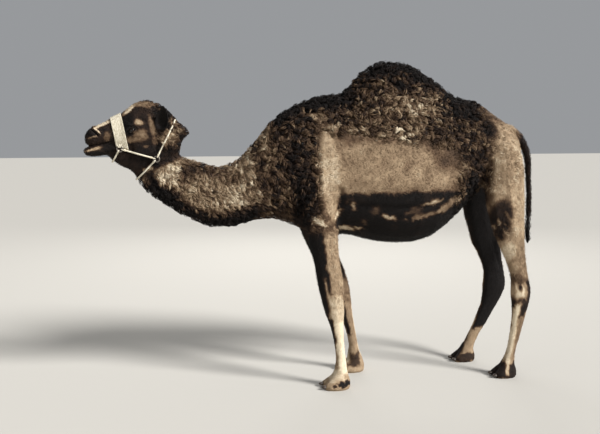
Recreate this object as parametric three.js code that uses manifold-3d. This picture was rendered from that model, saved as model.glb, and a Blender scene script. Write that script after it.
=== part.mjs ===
// A dromedary camel as a life-size still model. It stands with its neck held low and forward, and
// wears a halter.
// Millimetres, +Z up, the head towards -X and the animal's left side towards -Y.
// Places are measured from the floor midway between the four feet. The finished group is then
// moved so that its origin is the middle of its footprint.

import * as THREE from 'three';
import { mergeVertices } from 'three/addons/utils/BufferGeometryUtils.js';
import Module from 'manifold-3d';

const wasm = await Module();
wasm.setup();

const GAP = 0.4; // clear space between neighbouring pieces
const BLOCK = 6000; // side of a block that is larger than the whole animal
const LEFT = -1; // the left side is towards -Y
const RIGHT = 1;
const SIDES = [['left', LEFT], ['right', RIGHT]];

// ---------------------------------------------------------------- driving dimensions

const TRUNK_AROUND = 18; // points round each section of the trunk
const HEAD_AROUND = 16;
const JAW_AROUND = 12;
const LEG_AROUND = 8;
const FOOT_AROUND = 12;
const TAIL_AROUND = 8;

const HUMP_CUT = 1872; // height where the hump begins
const NECK_CUT = { point: [-1060, 0, 1350], normal: [-1, 0, 0.15] };
const HEAD_CUT = { point: [-1690, 0, 1410], normal: [-0.5, 0, 1] };
const ELBOW_CUT = { point: [-690, 0, 1010], normal: [0, 0, 1] };
const THIGH_CUT = { point: [540, 0, 1300], normal: [-0.32, 0, 1] };
const TAIL_CUT = { point: [690, 0, 1606], normal: [-1, 0, 0.8] };
const KNEE_CUT = 500; // below the knee, where the fore shank begins
const HOCK_CUT = 610; // above the hock, where the hind shank begins
const FOOT_CUT = 105; // above the pad of each foot
const TUFT_CUT = 1060; // where the long hair of the tail begins

const EYE_AT = [-1849, 71, 1634];
const EYE_RADIUS = 21;
const LID_OPENING = [20, 14, 11];
const LID_SLANT = -14; // degrees
const EAR_ROOT = [-1684, 99, 1636];
const EAR_TIP = [-1668, 138, 1784];
const EAR_OUT = [-0.4, 1, 0.1]; // the way its hollow faces
const EAR_HALF_WIDTH = 46;
const EAR_DEPTH = 30;
const EAR_WALL = 7;
const NAIL_RADII = [19, 16, 12];

// Halter: a broad woven noseband, narrow straps, and a ring at each corner.
const BAND_WIDTH = 68;
const BAND_THICKNESS = 6;
const STRAP_THICKNESS = 8;
const STRAP_WIDTH = 15;
const STRAP_LIFT = 1.5; // clear of the hide
const RING_RADIUS = 17;
const RING_WIRE = 4;
const NOSE_RING = [-1926, 76, 1524];
const JAW_RING = [-1712, 106, 1463];
const BAND_LINE = [[-1948, 1726], [-1914, 1549]]; // X and Z down the middle of the noseband
const CHIN_LOW = [-1968, 1448]; // where the chin strap passes under the chin
const THROAT_LOW = [-1821, 1345];
const CROWN_TOP = [-1590, 1700]; // where the crown strap crosses the nape
const COLLAR_END = -1450; // no strap lies behind this

// ---------------------------------------------------------------- solids and cuts

// A closed geometry as a manifold-3d solid.
function solidOf(geometry) {
  const bare = new THREE.BufferGeometry();
  bare.setAttribute('position', geometry.getAttribute('position').clone());
  if (geometry.index) bare.setIndex(geometry.index.clone());
  const merged = mergeVertices(bare, 1e-3);
  return new wasm.Manifold(new wasm.Mesh({
    numProp: 3,
    vertProperties: new Float32Array(merged.attributes.position.array),
    triVerts: new Uint32Array(merged.index.array),
  }));
}

function geometryOf(solid) {
  const mesh = solid.getMesh();
  const geometry = new THREE.BufferGeometry();
  geometry.setAttribute('position', new THREE.BufferAttribute(mesh.vertProperties, 3));
  geometry.setIndex(new THREE.BufferAttribute(mesh.triVerts, 1));
  geometry.computeVertexNormals();
  return geometry;
}

function join(...solids) {
  return solids.reduce((sum, next) => sum.add(next));
}

// The block on the side of a plane that its normal points to, which starts this far beyond the plane.
function blockBeyond({ point, normal }, clear = GAP / 2) {
  const out = new THREE.Vector3(...normal).normalize();
  const turn = new THREE.Quaternion().setFromUnitVectors(new THREE.Vector3(0, 0, 1), out);
  const box = new THREE.BoxGeometry(BLOCK, BLOCK, BLOCK).applyQuaternion(turn);
  const middle = new THREE.Vector3(...point).addScaledVector(out, BLOCK / 2 + clear);
  return solidOf(box.translate(middle.x, middle.y, middle.z));
}

const turnedRound = ({ point, normal }) => ({ point, normal: normal.map((n) => -n) });
const level = (height) => ({ point: [0, 0, height], normal: [0, 0, 1] });

// Both sides of a solid that a plane parts: the side that the normal points to, then the other.
function partAt(solid, plane) {
  return [solid.intersect(blockBeyond(plane)), solid.intersect(blockBeyond(turnedRound(plane)))];
}

// ---------------------------------------------------------------- lofts and balls

// Reverses every face of a geometry whose volume comes out negative.
function facingOut(geometry) {
  const places = geometry.attributes.position;
  const index = geometry.index.array;
  const corner = [0, 1, 2].map(() => new THREE.Vector3());
  let volume = 0;
  for (let i = 0; i < index.length; i += 3) {
    corner.forEach((v, k) => v.fromBufferAttribute(places, index[i + k]));
    volume += corner[0].dot(corner[1].cross(corner[2]));
  }
  for (let i = 0; volume < 0 && i < index.length; i += 3) {
    [index[i + 1], index[i + 2]] = [index[i + 2], index[i + 1]];
  }
  return geometry;
}

// A closed skin over rings of equally many points, with a flat cap at each end.
function loft(rings) {
  const around = rings[0].length;
  const places = rings.flat().flatMap((p) => [p.x, p.y, p.z]);
  const faces = [];
  for (let r = 0; r < rings.length - 1; r++) {
    for (let i = 0; i < around; i++) {
      const [a, b] = [r * around + i, r * around + ((i + 1) % around)];
      faces.push(a, b, b + around, a, b + around, a + around);
    }
  }
  [0, rings.length - 1].forEach((r) => {
    const middle = new THREE.Vector3();
    rings[r].forEach((p) => middle.addScaledVector(p, 1 / around));
    const hub = places.length / 3;
    places.push(middle.x, middle.y, middle.z);
    for (let i = 0; i < around; i++) {
      const [a, b] = [r * around + i, r * around + ((i + 1) % around)];
      faces.push(hub, ...(r === 0 ? [b, a] : [a, b]));
    }
  });
  const geometry = new THREE.BufferGeometry();
  geometry.setAttribute('position', new THREE.Float32BufferAttribute(places, 3));
  geometry.setIndex(faces);
  return solidOf(facingOut(geometry));
}

// A cos or sin with its size raised to a power: 1 gives an oval, more a ridge, less a box.
function shaped(wave, power) {
  return Math.sign(wave) * Math.abs(wave) ** power;
}

function turns(count) {
  return Array.from({ length: count }, (_, i) => (2 * Math.PI * i) / count);
}

// A section of head, neck or trunk, on the line from its belly point to its back point. half is half
// its width, waist the share of its height where it is widest, and peak and keel say how narrow it
// is above and below that. grow makes it larger all round.
function bodyRing(row, around, grow) {
  const belly = new THREE.Vector3(row.bellyX, 0, row.bellyZ);
  const up = new THREE.Vector3(row.backX, 0, row.backZ).sub(belly);
  const height = up.length();
  up.normalize();
  return turns(around).map((angle) => {
    const rise = Math.sin(angle);
    const y = (row.half + grow) * shaped(Math.cos(angle), rise >= 0 ? row.peak : row.keel);
    const reach = height * (rise >= 0 ? 1 - row.waist : row.waist) + grow;
    return belly.clone().addScaledVector(up, height * row.waist + rise * reach).setY(y);
  });
}

// Rings across a line in a plane of constant Y, oval across it. Each row has the place x, y, z, half the
// depth within the plane and half the thickness across it.
function limb(rows, around) {
  const at = rows.map((row) => new THREE.Vector3(row.x, row.y, row.z));
  return loft(rows.map((row, r) => {
    const before = at[Math.max(r - 1, 0)];
    const along = at[Math.min(r + 1, rows.length - 1)].clone().sub(before).setY(0).normalize();
    const out = new THREE.Vector3(-along.z, 0, along.x);
    return turns(around).map((angle) => at[r].clone()
      .addScaledVector(out, row.deep * Math.cos(angle))
      .add(new THREE.Vector3(0, row.thick * Math.sin(angle), 0)));
  }));
}

// An oval ball that leans by tilt degrees about the Y axis.
function ball(centre, radii, { grow = 0, tilt = 0, columns = 8, rows = 6 } = {}) {
  const sphere = new THREE.SphereGeometry(1, columns, rows);
  sphere.scale(...radii.map((r) => r + grow)).rotateY(THREE.MathUtils.degToRad(tilt));
  return solidOf(sphere.translate(...centre));
}

const onSide = ([x, y, z], side) => [x, side * y, z];

// ---------------------------------------------------------------- neck and trunk

// The neck and trunk in one, as sections from the throat to the buttocks.
const TRUNK = [
  // behind the jaw, inside the head
  { backX: -1690, backZ: 1590, bellyX: -1846, bellyZ: 1372, half: 62, waist: 0.5, peak: 1, keel: 1 },
  { backX: -1610, backZ: 1520, bellyX: -1797, bellyZ: 1281, half: 84, waist: 0.5, peak: 1, keel: 1 },
  // throat and nape
  { backX: -1545, backZ: 1474, bellyX: -1715, bellyZ: 1213, half: 91, waist: 0.5, peak: 1, keel: 1 },
  // bend of the neck
  { backX: -1430, backZ: 1438, bellyX: -1565, bellyZ: 1115, half: 97, waist: 0.5, peak: 1, keel: 1 },
  { backX: -1320, backZ: 1408, bellyX: -1400, bellyZ: 1032, half: 106, waist: 0.5, peak: 1, keel: 1 },
  // foot of the neck
  { backX: -1212, backZ: 1450, bellyX: -1240, bellyZ: 1028, half: 124, waist: 0.48, peak: 1.05, keel: 1 },
  { backX: -1100, backZ: 1566, bellyX: -1110, bellyZ: 1064, half: 154, waist: 0.46, peak: 1.1, keel: 1 },
  // breast
  { backX: -1000, backZ: 1694, bellyX: -985, bellyZ: 1077, half: 190, waist: 0.43, peak: 1.15, keel: 1 },
  // point of the shoulder
  { backX: -871, backZ: 1788, bellyX: -870, bellyZ: 1034, half: 220, waist: 0.42, peak: 1.2, keel: 1.05 },
  // shoulder
  { backX: -741, backZ: 1842, bellyX: -750, bellyZ: 984, half: 240, waist: 0.4, peak: 1.25, keel: 1.1 },
  // withers
  { backX: -620, backZ: 1867, bellyX: -625, bellyZ: 958, half: 258, waist: 0.4, peak: 1.25, keel: 1.05 },
  { backX: -530, backZ: 1875, bellyX: -535, bellyZ: 958, half: 270, waist: 0.4, peak: 1.3, keel: 1 },
  // front of the hump
  { backX: -468, backZ: 1934, bellyX: -472, bellyZ: 950, half: 280, waist: 0.38, peak: 1.35, keel: 1 },
  { backX: -386, backZ: 2036, bellyX: -390, bellyZ: 924, half: 292, waist: 0.37, peak: 1.4, keel: 1 },
  // top of the hump
  { backX: -290, backZ: 2080, bellyX: -290, bellyZ: 901, half: 302, waist: 0.36, peak: 1.4, keel: 0.97 },
  { backX: -180, backZ: 2087, bellyX: -180, bellyZ: 891, half: 308, waist: 0.36, peak: 1.4, keel: 0.95 },
  { backX: -60, backZ: 2051, bellyX: -60, bellyZ: 893, half: 308, waist: 0.37, peak: 1.4, keel: 0.95 },
  // back of the hump
  { backX: 60, backZ: 1988, bellyX: 55, bellyZ: 920, half: 298, waist: 0.38, peak: 1.35, keel: 1 },
  { backX: 165, backZ: 1896, bellyX: 160, bellyZ: 988, half: 276, waist: 0.41, peak: 1.3, keel: 1.05 },
  // loin and flank
  { backX: 262, backZ: 1845, bellyX: 255, bellyZ: 1072, half: 248, waist: 0.44, peak: 1.2, keel: 1.1 },
  // croup
  { backX: 387, backZ: 1822, bellyX: 370, bellyZ: 1195, half: 226, waist: 0.48, peak: 1.15, keel: 1.1 },
  // hips
  { backX: 497, backZ: 1748, bellyX: 480, bellyZ: 1320, half: 214, waist: 0.5, peak: 1.1, keel: 1 },
  // root of the tail
  { backX: 590, backZ: 1684, bellyX: 580, bellyZ: 1385, half: 180, waist: 0.5, peak: 1, keel: 1 },
  // buttocks
  { backX: 662, backZ: 1612, bellyX: 655, bellyZ: 1425, half: 125, waist: 0.5, peak: 1, keel: 1 },
  { backX: 704, backZ: 1540, bellyX: 700, bellyZ: 1468, half: 52, waist: 0.5, peak: 1, keel: 1 },
];
const CHEST_PAD = { at: [-640, 0, 982], radii: [118, 72, 42] };

function neckAndTrunk(grow = 0) {
  const barrel = loft(TRUNK.map((row) => bodyRing(row, TRUNK_AROUND, grow)));
  return barrel.add(ball(CHEST_PAD.at, CHEST_PAD.radii, { grow }));
}

// ---------------------------------------------------------------- head

// Skull and upper muzzle, as upright sections from the nose to the nape.
const SKULL = [
  // nose and upper lip
  { x: -2129, top: 1612, bottom: 1560, half: 32, waist: 0.5, peak: 0.9, keel: 0.9 },
  { x: -2112, top: 1636, bottom: 1543, half: 47, waist: 0.45, peak: 0.95, keel: 0.9 },
  { x: -2080, top: 1660, bottom: 1538, half: 56, waist: 0.45, peak: 1, keel: 0.9 },
  { x: -2040, top: 1673, bottom: 1545, half: 58, waist: 0.45, peak: 1, keel: 0.9 },
  // bridge of the nose
  { x: -1998, top: 1697, bottom: 1548, half: 55, waist: 0.42, peak: 1, keel: 0.95 },
  { x: -1956, top: 1719, bottom: 1530, half: 58, waist: 0.42, peak: 1, keel: 1 },
  { x: -1915, top: 1738, bottom: 1505, half: 66, waist: 0.45, peak: 1, keel: 1 },
  { x: -1878, top: 1767, bottom: 1485, half: 79, waist: 0.5, peak: 1, keel: 1 },
  // eyes and forehead
  { x: -1840, top: 1798, bottom: 1465, half: 91, waist: 0.52, peak: 1.05, keel: 1 },
  { x: -1800, top: 1815, bottom: 1450, half: 95, waist: 0.52, peak: 1.05, keel: 1 },
  { x: -1755, top: 1824, bottom: 1435, half: 95, waist: 0.52, peak: 1.05, keel: 1 },
  // poll
  { x: -1705, top: 1806, bottom: 1425, half: 94, waist: 0.5, peak: 1, keel: 1 },
  { x: -1655, top: 1780, bottom: 1425, half: 92, waist: 0.48, peak: 1, keel: 1 },
  { x: -1612, top: 1735, bottom: 1440, half: 84, waist: 0.46, peak: 1, keel: 1 },
  { x: -1574, top: 1690, bottom: 1470, half: 70, waist: 0.5, peak: 1, keel: 1 },
  // wool of the nape, which ends in a point
  { x: -1558, top: 1676, bottom: 1556, half: 55, waist: 0.5, peak: 1, keel: 1 },
  { x: -1530, top: 1656, bottom: 1594, half: 38, waist: 0.5, peak: 1, keel: 1 },
  { x: -1503, top: 1626, bottom: 1606, half: 10, waist: 0.5, peak: 1, keel: 1 },
];

// Lower lip, chin and lower jaw.
const JAW = [
  { x: -2140, top: 1521, bottom: 1501, half: 20, waist: 0.5, peak: 0.9, keel: 0.9 },
  { x: -2122, top: 1533, bottom: 1481, half: 34, waist: 0.55, peak: 0.9, keel: 0.95 },
  { x: -2078, top: 1542, bottom: 1474, half: 41, waist: 0.55, peak: 0.9, keel: 1 },
  { x: -2030, top: 1550, bottom: 1480, half: 43, waist: 0.55, peak: 0.9, keel: 1 },
  { x: -1998, top: 1562, bottom: 1483, half: 44, waist: 0.55, peak: 0.9, keel: 1 },
  { x: -1976, top: 1575, bottom: 1455, half: 46, waist: 0.5, peak: 1, keel: 1 },
  { x: -1920, top: 1590, bottom: 1414, half: 53, waist: 0.5, peak: 1, keel: 1 },
  { x: -1870, top: 1600, bottom: 1394, half: 62, waist: 0.5, peak: 1, keel: 1 },
  { x: -1822, top: 1600, bottom: 1348, half: 72, waist: 0.5, peak: 1, keel: 1 },
  { x: -1765, top: 1600, bottom: 1322, half: 80, waist: 0.5, peak: 1, keel: 1 },
  { x: -1700, top: 1600, bottom: 1345, half: 82, waist: 0.5, peak: 1, keel: 1 },
  { x: -1640, top: 1590, bottom: 1400, half: 70, waist: 0.5, peak: 1, keel: 1 },
];

// What stands out on each side of the head.
const BUMPS = [
  { at: [-1850, 78, 1661], radii: [38, 17, 13], tilt: 12 }, // brow ridge over the eye
  { at: [-1834, 74, 1606], radii: [48, 17, 13], tilt: -8 }, // rim below the eye
  { at: [-1775, 70, 1508], radii: [78, 22, 74], tilt: 0 }, // cheek muscle
  { at: [-2088, 40, 1632], radii: [27, 17, 21], tilt: -35 }, // wing of the nostril
  { at: [-2102, 22, 1575], radii: [26, 22, 30], tilt: 0 }, // half of the cleft upper lip
];

function headSections(rows, around, grow) {
  return loft(rows.map(({ x, top, bottom, ...rest }) => (
    bodyRing({ ...rest, backX: x, backZ: top, bellyX: x, bellyZ: bottom }, around, grow)
  )));
}

function wholeHead(grow = 0) {
  const bumps = SIDES.flatMap(([, side]) => (
    BUMPS.map(({ at, radii, tilt }) => ball(onSide(at, side), radii, { grow, tilt, rows: 5 }))
  ));
  return join(headSections(SKULL, HEAD_AROUND, grow), headSections(JAW, JAW_AROUND, grow), ...bumps);
}

function eyeball(side, grow = 0) {
  return ball(onSide(EYE_AT, side), [EYE_RADIUS, EYE_RADIUS, EYE_RADIUS], { grow, columns: 10, rows: 7 });
}

// The opening between the lids, which points forward and a little down.
function lidOpening(side) {
  const at = [EYE_AT[0] - 3, EYE_AT[1] + EYE_RADIUS, EYE_AT[2]];
  return ball(onSide(at, side), LID_OPENING, { tilt: LID_SLANT });
}

// A cupped leaf with a closed root, widest near its middle.
function ear(side) {
  const root = new THREE.Vector3(...onSide(EAR_ROOT, side));
  const up = new THREE.Vector3(...onSide(EAR_TIP, side)).sub(root);
  const length = up.length();
  up.normalize();
  const open = new THREE.Vector3(...onSide(EAR_OUT, side)).projectOnPlane(up).normalize();
  const across = new THREE.Vector3().crossVectors(up, open);
  const points = 6;
  return loft([0, 0.2, 0.42, 0.64, 0.84, 0.95, 1].map((t) => {
    const swell = 0.62 + 0.38 * Math.sin(Math.PI * Math.min(1, 1.15 * t));
    const taper = Math.sqrt(Math.max(0.02, 1 - t ** 3));
    const wide = EAR_HALF_WIDTH * swell * taper;
    const deep = EAR_DEPTH * swell * taper;
    const wall = t === 0 ? wide * 0.9 : Math.min(EAR_WALL, wide * 0.6);
    const middle = root.clone().addScaledVector(up, length * t);
    const arc = (w, d) => Array.from({ length: points }, (_, i) => {
      const turn = THREE.MathUtils.degToRad(-100 + (200 * i) / (points - 1));
      return middle.clone()
        .addScaledVector(across, w * Math.sin(turn))
        .addScaledVector(open, -d * Math.cos(turn));
    });
    return [...arc(wide, deep), ...arc(wide - wall, Math.max(deep - wall, 1)).reverse()];
  }));
}

// ---------------------------------------------------------------- legs

// Half the depth and half the thickness of each kind of leg. along counts the joints passed: 0 is the
// shoulder or hip, 1 the elbow or stifle, 2 the knee or hock, 3 the fetlock and 4 the sole.
const FORE_GIRTH = [
  { along: 0, deep: 75, thick: 45 },
  { along: 0.2, deep: 130, thick: 78 },
  { along: 0.55, deep: 140, thick: 88 },
  { along: 0.85, deep: 124, thick: 88 },
  { along: 1.1, deep: 104, thick: 80 },
  { along: 1.3, deep: 94, thick: 72 },
  { along: 1.5, deep: 89, thick: 65 },
  { along: 1.7, deep: 92, thick: 62 },
  { along: 1.87, deep: 88, thick: 65 },
  { along: 2, deep: 81, thick: 66 },
  { along: 2.15, deep: 69, thick: 60 },
  { along: 2.33, deep: 51, thick: 46 },
  { along: 2.52, deep: 40, thick: 37 },
  { along: 2.75, deep: 35, thick: 34 },
  { along: 2.93, deep: 36, thick: 36 },
  { along: 3.05, deep: 41, thick: 42 },
  { along: 3.5, deep: 46, thick: 48 },
];
const HIND_GIRTH = [
  { along: 0, deep: 75, thick: 60 },
  { along: 0.15, deep: 135, thick: 92 },
  { along: 0.37, deep: 155, thick: 100 },
  { along: 0.6, deep: 152, thick: 97 },
  { along: 0.83, deep: 145, thick: 90 },
  { along: 1, deep: 132, thick: 84 },
  { along: 1.18, deep: 118, thick: 74 },
  { along: 1.34, deep: 99, thick: 64 },
  { along: 1.48, deep: 83, thick: 55 },
  { along: 1.65, deep: 72, thick: 46 },
  { along: 1.8, deep: 70, thick: 45 },
  { along: 1.92, deep: 76, thick: 48 },
  { along: 2.02, deep: 79, thick: 49 },
  { along: 2.15, deep: 68, thick: 46 },
  { along: 2.35, deep: 51, thick: 38 },
  { along: 2.6, deep: 42, thick: 34 },
  { along: 2.82, deep: 35, thick: 32 },
  { along: 2.97, deep: 36, thick: 35 },
  { along: 3.1, deep: 41, thick: 40 },
  { along: 3.5, deep: 46, thick: 45 },
];

// Each leg: its joints from the top down, and where its foot stands. stout makes the shank deeper where
// the leg is bent and bears weight.
const LEGS = [
  {
    kind: 'fore', side: 'left', girth: FORE_GIRTH, half: 90, toe: -712, heel: -520,
    joints: [[-728, 168, 1480], [-702, 174, 1010], [-631, 180, 560], [-580, 185, 160], [-590, 185, 40]],
  },
  {
    kind: 'fore', side: 'right', girth: FORE_GIRTH, half: 90, toe: -512, heel: -320,
    joints: [[-728, 168, 1480], [-665, 170, 1000], [-495, 163, 555], [-393, 160, 155], [-404, 160, 40]],
  },
  {
    kind: 'hind', side: 'left', girth: HIND_GIRTH, half: 78, toe: 452, heel: 628,
    joints: [[512, 140, 1600], [550, 178, 1060], [654, 198, 562], [587, 200, 140], [560, 200, 40]],
  },
  {
    kind: 'hind', side: 'right', girth: HIND_GIRTH, half: 78, toe: 342, heel: 520, stout: 1.2,
    joints: [[512, 140, 1600], [532, 180, 1060], [660, 208, 540], [490, 212, 140], [446, 212, 40]],
  },
];

function wholeLeg(leg, side) {
  const line = new THREE.CatmullRomCurve3(leg.joints.map((j) => new THREE.Vector3(...onSide(j, side))));
  return limb(leg.girth.map(({ along, deep, thick }) => {
    const { x, y, z } = line.getPoint(along / (leg.joints.length - 1));
    const stout = along > 1.2 && along < 3 ? leg.stout ?? 1 : 1;
    return { x, y, z, deep: deep * stout, thick };
  }), LEG_AROUND);
}

// Level sections of a foot: height, how far it is drawn in at toe and heel as shares of its length, its
// breadth as a share of the full breadth, and the depth of the cleft between its two toes.
const FOOT_SECTIONS = [
  { z: 0, toeIn: 0.045, heelIn: 0.05, breadth: 0.9, cleft: 20 },
  { z: 10, toeIn: 0, heelIn: 0.01, breadth: 1, cleft: 25 },
  { z: 28, toeIn: 0.02, heelIn: 0, breadth: 0.99, cleft: 24 },
  { z: 48, toeIn: 0.17, heelIn: 0, breadth: 0.86, cleft: 14 },
  { z: 80, toeIn: 0.38, heelIn: 0.05, breadth: 0.62, cleft: 0 },
  { z: 125, toeIn: 0.51, heelIn: 0.12, breadth: 0.45, cleft: 0 },
];
const CLEFT_SPREAD = 0.3; // radians each way from straight ahead

function sole(leg, side) {
  const length = leg.heel - leg.toe;
  const middleY = side * leg.joints[leg.joints.length - 1][1];
  return loft(FOOT_SECTIONS.map((row) => {
    const front = leg.toe + row.toeIn * length;
    const rear = leg.heel - row.heelIn * length;
    return turns(FOOT_AROUND).map((angle) => {
      const fromAhead = Math.min(angle, 2 * Math.PI - angle);
      const cleft = row.cleft * Math.exp(-((fromAhead / CLEFT_SPREAD) ** 2));
      const x = (front + rear) / 2 - ((rear - front) / 2) * shaped(Math.cos(angle), 0.85) + cleft;
      return new THREE.Vector3(x, middleY + leg.half * row.breadth * shaped(Math.sin(angle), 0.8), row.z);
    });
  }));
}

function nail(leg, side, toeSide, grow = 0) {
  const middleY = side * leg.joints[leg.joints.length - 1][1];
  const at = [leg.toe + 16, middleY + toeSide * leg.half * 0.44, NAIL_RADII[2] + 6];
  return ball(at, NAIL_RADII, { grow, rows: 4 });
}

// ---------------------------------------------------------------- tail

const TAIL = [
  { x: 545, z: 1650, deep: 42, thick: 44 },
  { x: 610, z: 1650, deep: 41, thick: 44 },
  { x: 672, z: 1622, deep: 38, thick: 42 },
  { x: 722, z: 1574, deep: 35, thick: 38 },
  { x: 764, z: 1506, deep: 32, thick: 34 },
  { x: 786, z: 1424, deep: 29, thick: 30 },
  { x: 789, z: 1320, deep: 25, thick: 27 },
  { x: 800, z: 1210, deep: 24, thick: 25 },
  { x: 802, z: 1110, deep: 25, thick: 27 },
  { x: 800, z: 1020, deep: 27, thick: 32 },
  { x: 796, z: 940, deep: 25, thick: 33 },
  { x: 800, z: 885, deep: 17, thick: 22 },
  { x: 803, z: 858, deep: 6, thick: 8 },
];

// ---------------------------------------------------------------- halter

// A ring that lies against the cheek.
function ring([x, y, z], side) {
  const torus = new THREE.TorusGeometry(RING_RADIUS, RING_WIRE, 5, 8);
  torus.rotateX(Math.PI / 2).rotateZ(side * 0.1);
  return solidOf(torus.translate(x, side * y, z));
}

// The room that a ring takes, which the ends of the straps keep out of.
function ringRoom([x, , z], side) {
  const reach = RING_RADIUS + RING_WIRE + GAP;
  const room = new THREE.CylinderGeometry(reach, reach, BLOCK / 2, 12);
  return solidOf(room.translate(x, (side * BLOCK) / 4, z));
}

// The plane along the line from one place to another, this far to its left.
function planeBeside([x1, z1], [x2, z2], away) {
  const line = new THREE.Vector3(x2 - x1, 0, z2 - z1).normalize();
  return { point: [x1 - line.z * away, 0, z1 + line.x * away], normal: [-line.z, 0, line.x] };
}

// The part of a shell within half a width of that line.
function strapAlong(shell, from, to, width) {
  const above = blockBeyond(planeBeside(from, to, -width / 2), 0);
  const below = blockBeyond(turnedRound(planeBeside(from, to, width / 2)), 0);
  return shell.intersect(above).intersect(below);
}

// The block on the side of a place that the given direction points to.
const towards = ([x, z], [dx, dz]) => blockBeyond({ point: [x, 0, z], normal: [dx, 0, dz] }, 0);

function halter() {
  const inReach = towards([COLLAR_END, 0], [-1, 0]);
  const outside = (grow) => wholeHead(grow).add(neckAndTrunk(grow)).intersect(inReach);
  const hide = outside(STRAP_LIFT);
  const strapShell = outside(STRAP_LIFT + STRAP_THICKNESS).subtract(hide);
  const bandShell = wholeHead(STRAP_LIFT + BAND_THICKNESS).subtract(hide);
  const rooms = join(...SIDES.flatMap(([, side]) => [ringRoom(NOSE_RING, side), ringRoom(JAW_RING, side)]));
  const nose = [NOSE_RING[0], NOSE_RING[2]];
  const jaw = [JAW_RING[0], JAW_RING[2]];
  const strap = (from, to) => strapAlong(strapShell, from, to, STRAP_WIDTH).subtract(rooms);
  const aboveCheekStrap = blockBeyond(planeBeside(nose, jaw, STRAP_WIDTH / 2), GAP);
  const made = {
    noseband: strapAlong(bandShell, ...BAND_LINE, BAND_WIDTH).subtract(rooms).intersect(aboveCheekStrap),
    chin_strap: strap(nose, CHIN_LOW).intersect(towards(nose, [0, -1])),
    throat_strap: strap(jaw, THROAT_LOW).intersect(towards(jaw, [-1, -1])),
    crown_strap: strap(jaw, CROWN_TOP).intersect(towards(jaw, [0.38, 1])),
  };
  const cheek = strap(nose, jaw).intersect(towards(nose, [1, 0])).intersect(towards(jaw, [-1, 0]));
  SIDES.forEach(([name, side]) => {
    made[`cheek_strap_${name}`] = cheek.intersect(blockBeyond({ point: [0, 0, 0], normal: [0, side, 0] }));
    made[`nose_ring_${name}`] = ring(NOSE_RING, side);
    made[`jaw_ring_${name}`] = ring(JAW_RING, side);
  });
  return made;
}

// ---------------------------------------------------------------- the whole animal, parted

const pieces = {};
const trunkRoom = neckAndTrunk(GAP);
let body = neckAndTrunk();

LEGS.forEach((leg) => {
  const side = leg.side === 'left' ? LEFT : RIGHT;
  const fore = leg.kind === 'fore';
  const [inTrunk, free] = partAt(wholeLeg(leg, side), fore ? ELBOW_CUT : THIGH_CUT);
  body = body.add(inTrunk);
  const [upper, lower] = partAt(free.subtract(trunkRoom), level(fore ? KNEE_CUT : HOCK_CUT));
  const [shank, foot] = partAt(lower.add(sole(leg, side)), level(FOOT_CUT));
  pieces[`${fore ? 'forearm' : 'thigh'}_${leg.side}`] = upper;
  pieces[`${leg.kind}_shank_${leg.side}`] = shank;
  pieces[`${leg.kind}_foot_${leg.side}`] = foot;
  [['inner', -side], ['outer', side]].forEach(([where, toeSide]) => {
    const footName = `${leg.kind}_foot_${leg.side}`;
    pieces[footName] = pieces[footName].subtract(nail(leg, side, toeSide, GAP));
    pieces[`${leg.kind}_nail_${where}_${leg.side}`] = nail(leg, side, toeSide);
  });
});

const wholeTail = limb(TAIL.map((row) => ({ ...row, y: 0 })), TAIL_AROUND);
const [tailRoot, tailFree] = partAt(wholeTail, TAIL_CUT);
const [tail, tuft] = partAt(tailFree, level(TUFT_CUT));
body = body.add(tailRoot);
pieces.tail = tail.subtract(trunkRoom);
pieces.tail_tuft = tuft;

const [hump, unhumped] = partAt(body, level(HUMP_CUT));
const [neckEnd, trunk] = partAt(unhumped, NECK_CUT);
const [headEnd, neck] = partAt(neckEnd.add(wholeHead()), HEAD_CUT);
pieces.hump = hump;
pieces.trunk = trunk;
pieces.neck = neck;
pieces.head = headEnd;

const headRoom = wholeHead(GAP);
SIDES.forEach(([name, side]) => {
  pieces.head = pieces.head.subtract(eyeball(side, GAP)).subtract(lidOpening(side));
  pieces[`eye_${name}`] = eyeball(side);
  pieces[`ear_${name}`] = ear(side).subtract(headRoom);
});
Object.assign(pieces, halter());

// ---------------------------------------------------------------- the group

const finish = (color, roughness, metalness = 0) => (
  new THREE.MeshStandardMaterial({ color, roughness, metalness })
);
const COAT = finish(0x5a4028, 0.95);
const NAIL = finish(0x2b2420, 0.6);
const EYE = finish(0x120c08, 0.15);
const WEBBING = finish(0xd9d2c0, 0.9);
const CORD = finish(0xb8a888, 0.9);
const IRON = finish(0x8a8680, 0.45, 1);
const FINISHES = [[/nail/, NAIL], [/^eye/, EYE], [/noseband/, WEBBING], [/strap/, CORD], [/ring/, IRON]];

const camel = new THREE.Group();
Object.entries(pieces).forEach(([name, solid]) => {
  const [, material] = FINISHES.find(([pattern]) => pattern.test(name)) ?? [null, COAT];
  const mesh = new THREE.Mesh(geometryOf(solid), material);
  mesh.name = name;
  camel.add(mesh);
});

// The origin is the middle of the footprint, on the floor.
const bounds = new THREE.Box3().setFromObject(camel);
const middle = bounds.getCenter(new THREE.Vector3());
camel.position.set(-middle.x, -middle.y, -bounds.min.z);

export default camel;
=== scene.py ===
import math

import bmesh
import bpy
import numpy as np
from mathutils import Matrix, Vector
from mathutils.bvhtree import BVHTree
from mathutils.kdtree import KDTree


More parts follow.
